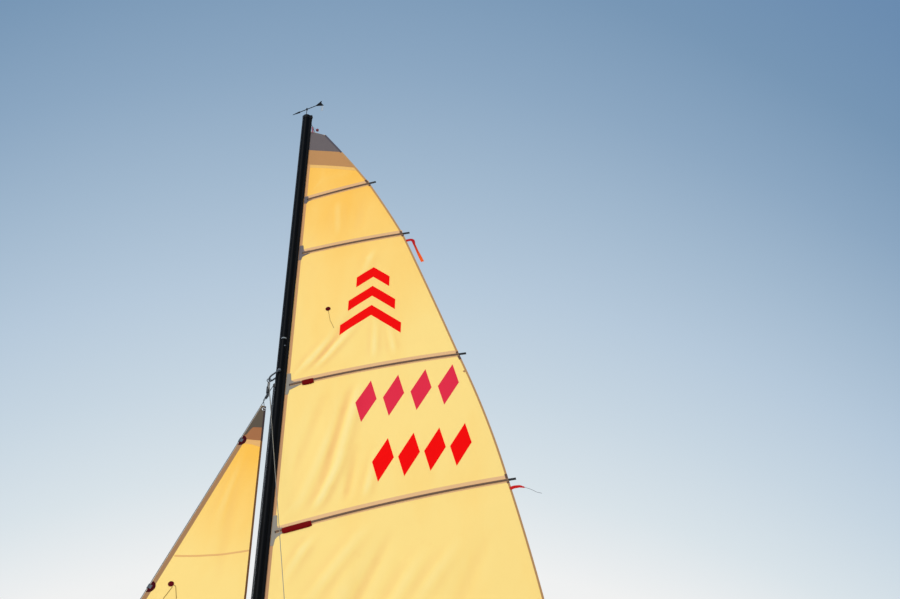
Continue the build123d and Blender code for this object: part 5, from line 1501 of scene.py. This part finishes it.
@dataclass
class Jib(Sail):
    """The hanked jib: a cambered triangle with a hollow leech. Heights count down from the hounds."""

    layout: Layout = STAY
    chord: float = 1.930
    camber: float = 0.050
    clew: Flat = (1.917, -4.765)
    head: Flat = (0.034, -0.090)
    tack_up: float = -5.380
    head_luff: float = -0.088
    grey_leech: float = -0.345
    rings: tuple[tuple[str, Flat], ...] = (("jib_head_ring", (0.030, -0.112)),
                                           ("jib_tack_ring", (0.045, -5.335)),
                                           ("jib_clew_ring", (1.868, -4.790)))
    ring_size: Flat = (0.010, 0.0032)
    columns: int = 60
    luff_gap: float = 0.004
    folds: tuple[Fold, ...] = (
        ((0.060, -0.520), (0.150, -0.900), 0.003, 0.040),
        ((0.180, -0.800), (0.330, -1.250), -0.003, 0.050),
        ((0.100, -1.600), (0.420, -2.300), 0.005, 0.070),
        ((0.200, -2.600), (0.700, -3.400), -0.006, 0.090),
        ((0.120, -3.700), (0.620, -4.700), 0.006, 0.090),
        ((0.900, -4.300), (1.600, -4.650), 0.006, 0.090),
    )
    leech: Flat = (0.558, -1.333)  # where it turns
    leech_rows: tuple[int, int] = (110, 50)  # below the turn, above it
    foot_drop: float = 0.060  # between tack and clew
    foot_rows: int = 14  # until that fades out
    # each: height at the luff, height that bends it, end at the leech
    seams: tuple[tuple[float, float, Flat], ...] = (
        (-1.267, -1.205, (0.448, -1.078)), (-2.560, -2.380, (0.845, -2.060)),
        (-3.850, -3.620, (1.286, -3.180)))
    hank_first: float = 0.378  # below the hounds
    hank_pitch: float = 1.124
    hank_count: int = 5
    hank_half: float = 0.039
    telltale: Flat = (0.118, -1.443)
    threads: tuple[tuple[Flat, Flat], ...] = (((0.152, -1.447), (0.198, -1.520)),
                                              ((0.136, -1.458), (0.126, -1.547)))

    def rows(self) -> list[tuple[float, Flat]]:
        """The height at the luff and the leech point of each row, from the foot up.

        Returns:
            The rows, evenly spaced below the turn of the leech and above it.
        """
        corner = (self.leech[1] - self.clew[1]) / (self.head[1] - self.clew[1])
        turn = (self.tack_up + (self.head_luff - self.tack_up) * corner, *self.leech)
        bottom, top = (self.tack_up, *self.clew), (self.head_luff, *self.head)
        rows: list[tuple[float, Flat]] = []
        for low, high, count in zip((bottom, turn), (turn, top), self.leech_rows):
            for share in (step / count for step in range(count)):
                luff, aft, up = (a + (b - a) * share for a, b in zip(low, high))
                rows.append((luff, (aft, up)))
        rows.append((self.head_luff, self.head))
        return rows

    def build_cloth(self) -> Piece:
        """The golden cloth, with its foot curved down between tack and clew.

        Returns:
            The cloth, in the place of the plain one.
        """
        rows, gap = self.rows(), self.luff_gap
        points = []
        for number, (luff, (aft, up)) in enumerate(rows):
            droop = self.foot_drop * max(0.0, 1 - number / self.foot_rows) ** 2
            for share in (column / self.columns for column in range(self.columns + 1)):
                points.append((gap + (aft - gap) * share,
                               luff + (up - luff) * share - droop * 4 * share * (1 - share)))
        piece = cloth_piece("jib_cloth", self.cloth, points, grid(len(rows) - 1, self.columns), 0.0,
                            self.thickness)
        coat(piece, JIB_CLOTH)
        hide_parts("jib")
        return piece

    def build_layers(self) -> None:
        """Luff and leech tapes, the head's doubled layers, seams and the two lower corners."""
        layer = self.thickness
        self.tape("jib_luff_tape", [(0.0190, self.tack_up + 0.02), (0.0190, self.head_luff - 0.02)],
                  0.0285, layer + 0.0012, JIB_TAPE)
        self.tape_leech("jib_leech_tape", 0.006, 0.012,
                        ((layer + 0.0012, JIB_LEECH), (layer + 0.0026, JIB_LEECH_GREY)))
        zero = (0.0, 0.0)
        self.double((
            ("jib_head_grey", zero, (
                (0.0055, -0.340), (0.020, -0.330), (0.026, -0.285), (0.034, -0.262),
                (0.0975, -0.243), (0.034, -0.091), (0.0055, -0.089)), 0.0022, JIB_GREY),
            ("jib_head_tan", zero, (
                (0.0055, -0.372), (0.036, -0.362), (0.1365, -0.336), (0.0975, -0.243),
                (0.034, -0.262), (0.026, -0.285), (0.020, -0.330), (0.0055, -0.340)),
             0.0014, JIB_TAN),
            ("jib_head_pale", zero, (
                (0.0055, -0.402), (0.0425, -0.394), (0.0882, -0.384), (0.1565, -0.384),
                (0.1365, -0.336), (0.036, -0.362), (0.0055, -0.372)), 0.0008, JIB_PALE)), 0.02)
        for number, (luff, bow, (leech_aft, leech_up)) in enumerate(self.seams, 1):
            seam = [(0.04 + (leech_aft - 0.05) * share,
                     (1 - share) ** 2 * luff + 2 * share * (1 - share) * bow + share ** 2 * leech_up)
                    for share in (step / 20 for step in range(21))]
            self.tape(f"jib_seam_{number}", seam, 0.012, layer + 0.0006, JIB_PALE)
        self.double((
            ("jib_tack_grey", (0.0, self.tack_up), (
                (0.009, 0.010), (0.20, 0.060), (0.15, 0.22), (0.009, 0.30)), 0.0022, JIB_GREY),
            ("jib_clew_grey", self.clew, (
                (-0.30, -0.125), (-0.010, -0.006), (-0.115, 0.255), (-0.26, 0.10)),
             0.0022, JIB_GREY)))

    def build_hank_patches(self) -> None:
        """Half-round maroon patches behind the hanks."""
        for number in range(self.hank_count):
            up = -self.hank_first - number * self.hank_pitch
            outline = [(0.006 + self.hank_half * math.sin(turn) * 0.95,
                        up - self.hank_half * math.cos(turn))
                       for turn in (math.pi * step / 10 for step in range(11))]
            self.sew(f"hank_patch_{number + 1}", outline, self.thickness + 0.0034, HANK_RED,
                     pitch=self.fine_pitch)

    def build_telltale(self) -> None:
        """A telltale with its two threads behind the second hank."""
        self.dot("jib_telltale", self.telltale, 0.018, MAROON)
        for number, course in enumerate(self.threads, 1):
            self.tape(f"jib_telltale_thread_{number}", [self.telltale, *course], 0.0030, 0.001,
                      WOOL_BROWN, self.on_face)

    def build(self) -> None:
        cloth = self.build_cloth()
        self.build_layers()
        self.build_hank_patches()
        self.build_telltale()
        self.build_rings()
        for piece in (cloth, *self.pieces):
            report(piece, "jib")
        self.area()
        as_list(self.pieces)


@dataclass
class MastGear:
    """Halyards, cleats, tape and fittings on the mast and at the hounds."""

    front: float = 0.058  # of the mast's face, ahead of the track
    middle: float = -0.034  # the mast's thickest part
    halyard_radius: float = 0.0034
    # height and side, the jib's first
    cleats: tuple[tuple[float, Side], ...] = ((1.15, Side.PORT), (1.32, Side.STARBOARD))
    cleat_foot: float = 0.0195  # off the middle
    cleat_horn: float = 0.034  # off the middle
    horn_reach: float = 0.050  # up and down
    # place between foot and horn, and lean
    turns: tuple[tuple[float, int], ...] = ((0.30, 1), (0.50, -1), (0.68, 1))
    sheave_course: tuple[Flat, ...] = ((-0.030, 8.196), (-0.052, 8.197))
    hounds: float = 5.804
    block_thick: Flat = (0.0075, 0.0045)  # half the cheeks, half the wheel
    # height, half widths and length
    band: tuple[float, Triple] = (6.0747, (0.0246, 0.0206, 0.007))
    rivet: Flat = (-0.0223, 6.0107)  # under the band
    gooseneck: Flat = (-0.040, 0.615)
    vane_turn: float = -28.0
    tab_behind: Flat = (0.136, 0.056)  # behind the vane's pin, below it
    tab_size: Triple = (0.018, 0.0012, 0.052)
    tab_bevel: float = 0.0004

    def build_halyards(self) -> None:
        """Both halyards down the front of the mast, each to its cleat."""
        radius = self.halyard_radius
        main_front = -self.front - radius
        jib_front = main_front - 2 * radius - 0.0004
        starts = {"jib_halyard": (jib_front, [(jib_front, self.hounds - 0.120)]),
                  "main_halyard": (main_front, [*self.sheave_course, (main_front - 0.002, 8.190),
                                                (main_front, 8.150)])}
        courses = {}
        for (name, (lead, course)), (low, side) in zip(starts.items(), self.cleats):
            courses[name] = [TRACK.at(*point) for point in (*course, (lead, low + 0.30))]
            courses[name].append(TRACK.at(-0.036, low + 0.02, side.value * 0.029))
        for name in ("main_halyard", "jib_halyard"):
            report(line(name, courses[name], radius, HALYARD), "mast")

    def build_cleats(self) -> None:
        """Two horn cleats with the halyards' turns on them."""
        for number, (up, side) in enumerate(self.cleats, 1):
            foot, horn = side.value * self.cleat_foot, side.value * self.cleat_horn
            pieces = [bar("cleat", TRACK.at(self.middle, up + start_up, start_out),
                          TRACK.at(self.middle, up + end_up, end_out), radius, CAST_BLACK, 16, tip)
                      for start_up, start_out, end_up, end_out, radius, tip in (
                          (-0.022, foot, 0.022, foot, 0.009, None), (0.0, foot, 0.0, horn, 0.007, None),
                          (0.0, horn, self.horn_reach, horn, 0.007, 0.003),
                          (0.0, horn, -self.horn_reach, horn, 0.007, 0.003))]
            report(join(f"halyard_cleat_{number}", pieces), "mast")
            turns = [ring("turn", TRACK.at(self.middle, up, foot + (horn - foot) * share),
                          Vector((0.30 * lean, side.value, 0.0)), 0.0115 + 0.001 * lean, 0.0032,
                          HALYARD) for share, lean in self.turns]
            report(join(f"halyard_turns_{number}", turns), "mast")

    def build_tape(self) -> None:
        """A grey band of tape round the mast and a small rivet under it."""
        up, size = self.band
        deselect()
        bpy.ops.mesh.primitive_cylinder_add(vertices=48, radius=1.0, depth=1.0,
                                            location=TRACK.at(self.middle, up),
                                            rotation=turn_to(TRACK.up))
        bpy.context.object.scale = size
        report(settle("mast_band", PALE_BAND), "mast")
        report(bar("mast_rivet", TRACK.at(*self.rivet, 0.016), TRACK.at(*self.rivet, 0.0215), 0.005,
                   DARK_STEEL), "mast")

    def build_hounds(self) -> None:
        """The jib halyard's small block in front of the mast, and its line to the jib's head."""
        centre = TRACK.at(-0.0600, self.hounds - 0.105)
        cheek, wheel = self.block_thick
        block = [bar("block", centre + TO_PORT * start, centre + TO_PORT * end, radius, finish, 24)
                 for start, end, radius, finish in (
                     (-cheek, 0.0025 - cheek, 0.0145, BLACK_PLASTIC),
                     (cheek - 0.0025, cheek, 0.0145, BLACK_PLASTIC),
                     (-wheel, wheel, 0.0115, STAINLESS))]
        block.append(bar("hanger", centre, centre + TRACK.up * 0.060, 0.003, DARK_STEEL, 12))
        report(join("halyard_block", block), "mast")
        swivel = STAY.origin + FORWARD * 0.002
        report(bar("stay_swivel", swivel + UP * 0.014, swivel + UP * 0.062, 0.0105, BLACK_PLASTIC,
                   24), "platform")
        course = [centre + FORWARD * 0.012, STAY.at(-0.0065, -0.0467), STAY.at(0.030, -0.104)]
        report(line("jib_head_line", course, 0.0022, HALYARD), "jib")

    def build_gooseneck(self) -> None:
        """Rivets that hold the gooseneck bracket."""
        first = bar("rivet", TRACK.at(*self.gooseneck, 0.0215), TRACK.at(*self.gooseneck, 0.0250),
                    0.0042, STAINLESS)
        steps = [TRACK.up * up + TO_PORT * out for up in (0.0, 0.042) for out in (0.0, -0.0465)]
        report(copies("gooseneck_rivets", first, steps), "mast")

    def build_vane_tab(self) -> None:
        """The frosted tab that hangs under the vane's tail."""
        turn = math.radians(self.vane_turn)
        nose = (-TRACK.aft) * math.cos(turn) + TO_PORT * math.sin(turn)
        behind, below = self.tab_behind
        centre = Vector(joint("vane_turn")["pos_m"]) - nose * behind - MAST_UP * below
        deselect()
        bpy.ops.mesh.primitive_cube_add(size=1.0, location=centre,
                                        rotation=(0.0, 0.0, math.atan2(nose.y, nose.x)))
        bpy.context.object.scale = self.tab_size
        bpy.ops.object.transform_apply(location=True, rotation=True, scale=True)
        bpy.ops.object.mode_set(mode="EDIT")
        bpy.ops.mesh.select_all(action="SELECT")
        bpy.ops.mesh.bevel(offset=self.tab_bevel, segments=2, affect="EDGES")
        bpy.ops.object.mode_set(mode="OBJECT")
        report(settle("vane_tab", VANE_TAB), "vane")

    def build(self) -> None:
        """Makes everything on the mast."""
        self.build_halyards()
        self.build_cleats()
        self.build_tape()
        self.build_hounds()
        self.build_gooseneck()
        self.build_vane_tab()


@dataclass
class Deck:
    """The trampoline, straps, bolts and small fittings of the platform and hulls."""

    hem: Flat = (0.050, 0.03)  # width, more at a beam
    pitch: float = 0.135  # of the grommets
    sag: float = 0.012  # of the net's middle
    faces: tuple[int, int] = (64, 52)  # along, across
    grommet: Flat = (0.0075, 0.0026)  # radius, rim radius
    grommet_inset: float = 0.030  # inside the rail
    lace: float = 0.0030  # the line's radius
    rail_y: float = 0.858
    rail_radius: float = 0.020
    hull_y: float = 1.040
    strap_y: float = 0.300  # the straps' middles
    strap_half: float = 0.025
    strap_sag: float = 0.008
    stitches: tuple[float, ...] = (-0.030, 0.0, 0.030)
    hatch_ring: float = 0.069  # the screws' circle
    hatch_rim: float = 0.025  # the rim's height over the cover's underside
    chainplate: Flat = (1.120, 0.494)  # the pin's y and height
    tang_up: float = 0.516  # the bow pins' height
    gudgeon_up: Flat = (0.199, 0.409)
    tiller_up: float = 0.594
    grip_ribs: tuple[int, float, float] = (20, 0.0082, 0.0115)  # count, spacing, radius

    def __post_init__(self) -> None:
        """Takes the trampoline's place from the frame."""
        self.low, self.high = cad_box("trampoline")
        self.level = (self.low.z + self.high.z) / 2

    def sheet_mesh(self, name: str, low: Flat, high: Flat, lift: float, sag: float,
                   thickness: float, finish: Finish, counts: tuple[int, int]) -> Piece:
        """A level sheet between two corners that hangs in its middle.

        Args:
            name: Its name.
            low: The corner with the smallest x and y.
            high: The opposite corner.
            lift: Height of the sheet above the trampoline's middle.
            sag: How far its middle hangs.
            thickness: Its thickness.
            finish: Its finish.
            counts: How many faces it has along x and along y.

        Returns:
            The sheet.
        """
        (low_x, low_y), (high_x, high_y), (columns, rows) = low, high, counts
        verts = []
        for y in (low_y + (high_y - low_y) * row / rows for row in range(rows + 1)):
            for x in (low_x + (high_x - low_x) * column / columns for column in range(columns + 1)):
                bowl = math.prod(math.sin(math.pi * min(1, max(0, share))) for share in (
                    (x - self.low.x) / (self.high.x - self.low.x),
                    (y - self.low.y) / (self.high.y - self.low.y)))
                verts.append((x, y, self.level + lift - sag * bowl))
        piece = lay(name, verts, grid(rows, columns))
        thicken(piece, thickness)
        return coat(smooth(piece, 35.0), finish)

    def build_trampoline(self) -> None:
        """The mesh sheet with its hems, grommets and the lacing round the side rails."""
        low, high = self.low, self.high
        along, across = self.faces
        hem, more = self.hem
        net = self.sheet_mesh("trampoline_net", low.xy, high.xy, 0.0, self.sag, 0.0026, NET_CLOTH,
                              self.faces)
        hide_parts("trampoline")
        extras = [self.sheet_mesh(name, start, end, 0.0, self.sag, 0.0046, HEM_VINYL, counts)
                  for name, start, end, counts in (
                      ("hem_port", (low.x, high.y - hem), high.xy, (along, 2)),
                      ("hem_starboard", low.xy, (high.x, low.y + hem), (along, 2)),
                      ("hem_front", (high.x - hem - more, low.y), high.xy, (2, across)),
                      ("hem_rear", low.xy, (low.x + hem + more, high.y), (2, across)),
                      ("net_seam", (low.x, -0.022), (high.x, 0.022), (along, 2)))]
        count = int((high.x - low.x - 0.20) / self.pitch)
        start_x = (low.x + high.x - count * self.pitch) / 2
        steps = [FORWARD * self.pitch * step for step in range(count + 1)]
        outer = self.rail_y + self.rail_radius + self.lace
        inner = self.rail_y - self.rail_radius - self.grommet_inset
        for side in Side:
            eye = ring("eye", Vector((start_x, side.value * inner, self.level)), UP, *self.grommet,
                       STAINLESS)
            extras.append(copies(f"grommets_{side.label}", eye, steps))
            deselect()
            bpy.ops.mesh.primitive_torus_add(
                major_radius=1.0, minor_radius=0.10, major_segments=36, minor_segments=8,
                location=(start_x, side.value * (outer + inner) / 2, self.level),
                rotation=(0.0, math.radians(90), 0.0))
            bpy.context.object.scale = (self.rail_radius + self.lace, (outer - inner) / 2, 0.026)
            extras.append(copies(f"lacing_{side.label}", settle("loop", WHITE_LINE, 60.0), steps))
        for piece in (net, *extras):
            report(piece, "platform")

    def build_straps(self) -> None:
        """Two webbing foot straps with stitched ends."""
        low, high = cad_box("hiking_straps")
        rise = (low.z + high.z) / 2 - self.level
        for side in Side:
            middle = side.value * self.strap_y
            strap = self.sheet_mesh(f"hiking_strap_{side.label}", (low.x, middle - self.strap_half),
                                    (high.x, middle + self.strap_half), rise, self.strap_sag, 0.0025,
                                    WEBBING, (self.faces[0], 4))
            sewn = [end_x + offset for end_x in (low.x + 0.10, high.x - 0.10)
                    for offset in self.stitches]
            seams = join(f"strap_stitches_{side.label}", [self.sheet_mesh(
                "stitch", (x - 0.0012, middle - 0.021), (x + 0.0012, middle + 0.021), rise + 0.0012,
                self.strap_sag, 0.0008, STITCH, (1, 4)) for x in sewn])
            report(strap, "platform")
            report(seams, "platform")
            if side is Side.PORT:
                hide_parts("hiking_straps")

    def build_bolts(self) -> None:
        """Bolts through the beam saddles, the mast step and the gudgeons."""
        front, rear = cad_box("front_crossbeam"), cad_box("rear_crossbeam")
        step_low, step_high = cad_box("mast_step")
        both = (-1, 1)
        saddles = [Vector(((low.x + high.x) / 2 + along * 0.052,
                           side.value * self.hull_y + across * 0.034,
                           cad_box("beam_saddles")[0].z + 0.012))
                   for low, high in (front, rear) for side in Side for along in both for across in both]
        step = [Vector(((step_low.x + step_high.x) / 2 + along * 0.036, across * 0.043,
                        front[1].z + 0.014)) for along in both for across in both]
        gudgeons = [Vector((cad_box("gudgeons_port")[1].x - 0.005,
                            side.value * self.hull_y + across * 0.026, up + rise))
                    for side in Side for up in self.gudgeon_up for across in both
                    for rise in (-0.010, 0.010)]
        for name, axis, radius, seats in (("saddle_bolts", UP, 0.0065, saddles),
                                          ("step_bolts", UP, 0.005, step),
                                          ("gudgeon_bolts", -FORWARD, 0.0042, gudgeons)):
            report(copies(name, hex_bolt(ORIGIN, axis, radius), seats), "platform")

    def build_hatches(self) -> None:
        """Screws round the rims of the hatch covers."""
        low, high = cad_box("hatch_covers")
        screw = bar("screw", ORIGIN, UP * 0.0016, 0.0038, STAINLESS, 16, 0.0030)
        steps = [Vector(((low.x + high.x) / 2 + self.hatch_ring * math.cos(turn),
                         side.value * self.hull_y + self.hatch_ring * math.sin(turn),
                         low.z + self.hatch_rim))
                 for side in Side for turn in (math.tau * step / 8 for step in range(8))]
        report(copies("hatch_screws", screw, steps), "platform")

    def build_split_rings(self) -> None:
        """Split rings in the pins of the shrouds and the bridle."""
        radius = 0.0075
        split = ring("split", ORIGIN, Vector((0.3, 1.0, 0.0)), radius, 0.0012, STAINLESS)
        low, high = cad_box("chainplates")
        plate_y, plate_up = self.chainplate
        places = (((low.x + high.x) / 2, plate_y - 0.0165, plate_up),
                  (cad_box("bow_tangs")[1].x - 0.028, self.hull_y - 0.0105, self.tang_up))
        steps = [Vector((x, side.value * y, up - radius)) for x, y, up in places for side in Side]
        report(copies("split_rings", split, steps), "platform")

    def build_rudders(self) -> None:
        """Locknuts on the blade bolts, and ribs on the tiller extension's grip."""
        for side in Side:
            low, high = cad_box(f"rudder_head_{side.label}")
            pivot = Vector(joint(f"blade_{side.label}_kickup")["pos_m"])
            nuts = [hex_bolt(Vector((pivot.x, y, pivot.z)), axis, 0.0085)
                    for y, axis in ((high.y - 0.004, TO_PORT), (low.y + 0.004, -TO_PORT))]
            report(join(f"blade_nuts_{side.label}", nuts), f"rudder_{side.label}")
        _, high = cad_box("tiller_extension")
        end = Vector((high.x, 0.0, self.tiller_up))
        count, spacing, radius = self.grip_ribs
        rib = ring("rib", end - FORWARD * 0.172, FORWARD, radius, 0.0014, RUBBER)
        steps = [FORWARD * spacing * step for step in range(count)]
        report(copies("grip_ribs", rib, steps), "extension")
        report(bar("grip_end", end - FORWARD * 0.002, end + FORWARD * 0.004, 0.0125, RUBBER, 24,
                   0.010), "extension")

    def build(self) -> None:
        """Makes everything on the platform and the hulls."""
        self.build_trampoline()
        self.build_straps()
        self.build_bolts()
        self.build_hatches()
        self.build_split_rings()
        self.build_rudders()


# Finishes of the pieces that the frame already holds

NODE_FINISHES: dict[str, Finish] = {
    name: finish for finish, names in (
        (HULL_WHITE, ("hull_port", "hull_starboard")),
        (BLADE_WHITE, ("rudder_blade_port", "rudder_blade_starboard")),
        (BEAM_SILVER, ("front_crossbeam", "rear_crossbeam", "traveller_track", "crossbar")),
        (RAIL_SILVER, ("side_rails", "tiller_port", "tiller_starboard", "tiller_extension")),
        (MAST_BLACK, ("mast", "boom")),
        (HEAD_BLACK, ("mast_head",)),
        (CAST_BLACK, ("beam_saddles", "mast_step", "mast_base", "traveller_car", "rudder_head_port",
                      "rudder_head_starboard", "gooseneck", "boom_tongue")),
        (BLACK_PLASTIC, ("hatch_covers", "head_sheave", "boom_end", "clew_slider")),
        (VANE_BLACK, ("wind_vane",)),
        (STAINLESS, ("dolphin_striker", "bridle_plate", "bow_tangs", "chainplates",
                     "gudgeons_port", "gudgeons_starboard")),
        (DARK_STEEL, ("stay_link", "hound_bail", "vane_stem", "jib_hanks")),
        # the forestay's dark colour is painted shade
        (SHADED_WIRE, ("forestay",)),
        (BRIGHT_WIRE, ("bridle_wires", "shroud_port", "shroud_starboard")),
        (NET_CLOTH, ("trampoline",)),
        (WEBBING, ("hiking_straps",)),
        (BATTEN_GREY, tuple(f"batten_{number}" for number in range(1, 7))),
    ) for name in names
}


def dress_nodes() -> None:
    """Gives each carried-over piece its finish."""
    for name, finish in NODE_FINISHES.items():
        coat(frame["nodes"][name], finish)
        log.info("%s is finished in %s", name, finish.name)


@dataclass(frozen=True)
class Studio:
    """The floor, the soft light and the camera at the photograph's viewing angle."""

    camera: Triple = (-0.8797, 8.1675, 0.15)
    pitch: float = 40.1009  # degrees up
    lens: float = 64.0  # millimetres
    sensor: float = 36.0  # millimetres
    floor_radius: float = 70.0
    floor_colour: str = "#D9DDE0"
    # height and colour of each stop of the backdrop
    sky: tuple[tuple[float, str], ...] = (
        (0.0, "#E2E5E8"), (0.46, "#F3F3F2"), (0.511, "#F0F1F1"), (0.557, "#D9E3E9"),
        (0.604, "#C7D6E2"), (0.651, "#B6C9DB"), (0.698, "#A2B9CF"), (0.744, "#8CA7C2"),
        (0.791, "#7796B5"), (0.838, "#6B8CB0"), (1.0, "#5F81A8"))
    glow_width: float = 0.10  # from the bows astern
    even_light: tuple[tuple[float, ...], float] = ((1.0, 0.99, 0.97, 1.0), 0.69)  # colour, strength
    # name, where it comes from, strength, degrees across
    suns: tuple[tuple[str, Triple, float, float], ...] = (
        ("key", (0.5, 0.9, 0.75), 1.15, 28.0), ("fill", (-0.6, -0.9, 0.9), 0.75, 40.0))

    def build_camera(self) -> None:
        """Adds the camera that looks to starboard and up."""
        data = bpy.data.cameras.new("camera")
        data.lens = self.lens
        data.sensor_width = self.sensor
        data.clip_end = 400.0
        camera = link_object("camera", data)
        camera.location = self.camera
        camera.rotation_euler = (math.radians(90 + self.pitch), 0.0, math.radians(180))
        bpy.context.scene.camera = camera

    def build_floor(self) -> None:
        """Adds a plain pale floor."""
        deselect()
        bpy.ops.mesh.primitive_circle_add(vertices=96, radius=self.floor_radius, fill_type="NGON",
                                          location=(0.0, 0.0, -0.0005))
        floor = bpy.context.object
        floor.name = "floor"
        material = bpy.data.materials.new("plain floor")
        material.use_nodes = True
        shader = material.node_tree.nodes["Principled BSDF"]
        shader.inputs["Base Color"].default_value = linear(self.floor_colour)
        shader.inputs["Roughness"].default_value = 0.9
        floor.data.materials.append(material)

    def build_light(self) -> None:
        """Adds the even sky light, a plain graded backdrop and two soft suns."""
        world = bpy.data.worlds.new("studio")
        bpy.context.scene.world = world
        world.use_nodes = True
        tree = world.node_tree
        tree.nodes.clear()
        direction = add_node(tree, "SeparateXYZ", links={
            "Vector": add_node(tree, "TexCoord").outputs["Generated"]})
        # the sky is deeper to both sides of the glow, and most towards the stern
        bow = direction.outputs["X"]
        leaning = add_node(tree, "Math", {"operation": "SUBTRACT", 1: self.glow_width}, {0: bow})
        side = add_node(tree, "Math", {"operation": "MULTIPLY"}, {0: leaning, 1: bow})
        capped = add_node(tree, "Math", {"operation": "MINIMUM", 1: 0.10}, {0: side})
        height = add_node(tree, "Math", {"operation": "ADD"}, {0: capped, 1: direction.outputs["Z"]})
        graded = add_node(tree, "ValToRGB", links={"Fac": height})
        stops = graded.color_ramp.elements
        while len(stops) < len(self.sky):
            stops.new(0.5)
        for stop, (position, colour) in zip(stops, self.sky):
            stop.position, stop.color = position, linear(colour)
        seen = add_node(tree, "Background", links={"Color": graded})
        colour, strength = self.even_light
        even = add_node(tree, "Background", {"Color": colour, "Strength": strength})
        rays = add_node(tree, "LightPath").outputs
        shown = add_node(tree, "Math", {"operation": "MAXIMUM"},
                         {0: rays["Is Camera Ray"], 1: rays["Is Glossy Ray"]})
        either = add_node(tree, "Math", {"operation": "MAXIMUM"},
                          {0: shown, 1: rays["Is Transmission Ray"]})
        mixed = add_node(tree, "MixShader", links={0: either, 1: even, 2: seen})
        add_node(tree, "OutputWorld", links={"Surface": mixed})
        for name, source, strength, spread in self.suns:
            data = bpy.data.lights.new(name, "SUN")
            data.energy = strength
            data.angle = math.radians(spread)
            lamp = link_object(name, data)
            lamp.rotation_mode = "QUATERNION"
            lamp.rotation_quaternion = Vector(source).to_track_quat("Z", "Y")

    def build(self) -> None:
        """Sets up the whole studio."""
        bpy.context.scene.view_settings.view_transform = "Standard"
        self.build_camera()
        self.build_floor()
        self.build_light()


def main() -> None:
    """Builds each sub-assembly in order."""
    logging.basicConfig(level=logging.INFO, format="%(message)s")
    Studio().build()
    dress_nodes()
    Mainsail().build()
    Jib().build()
    MastGear().build()
    Deck().build()


if __name__ == "__main__":
    main()
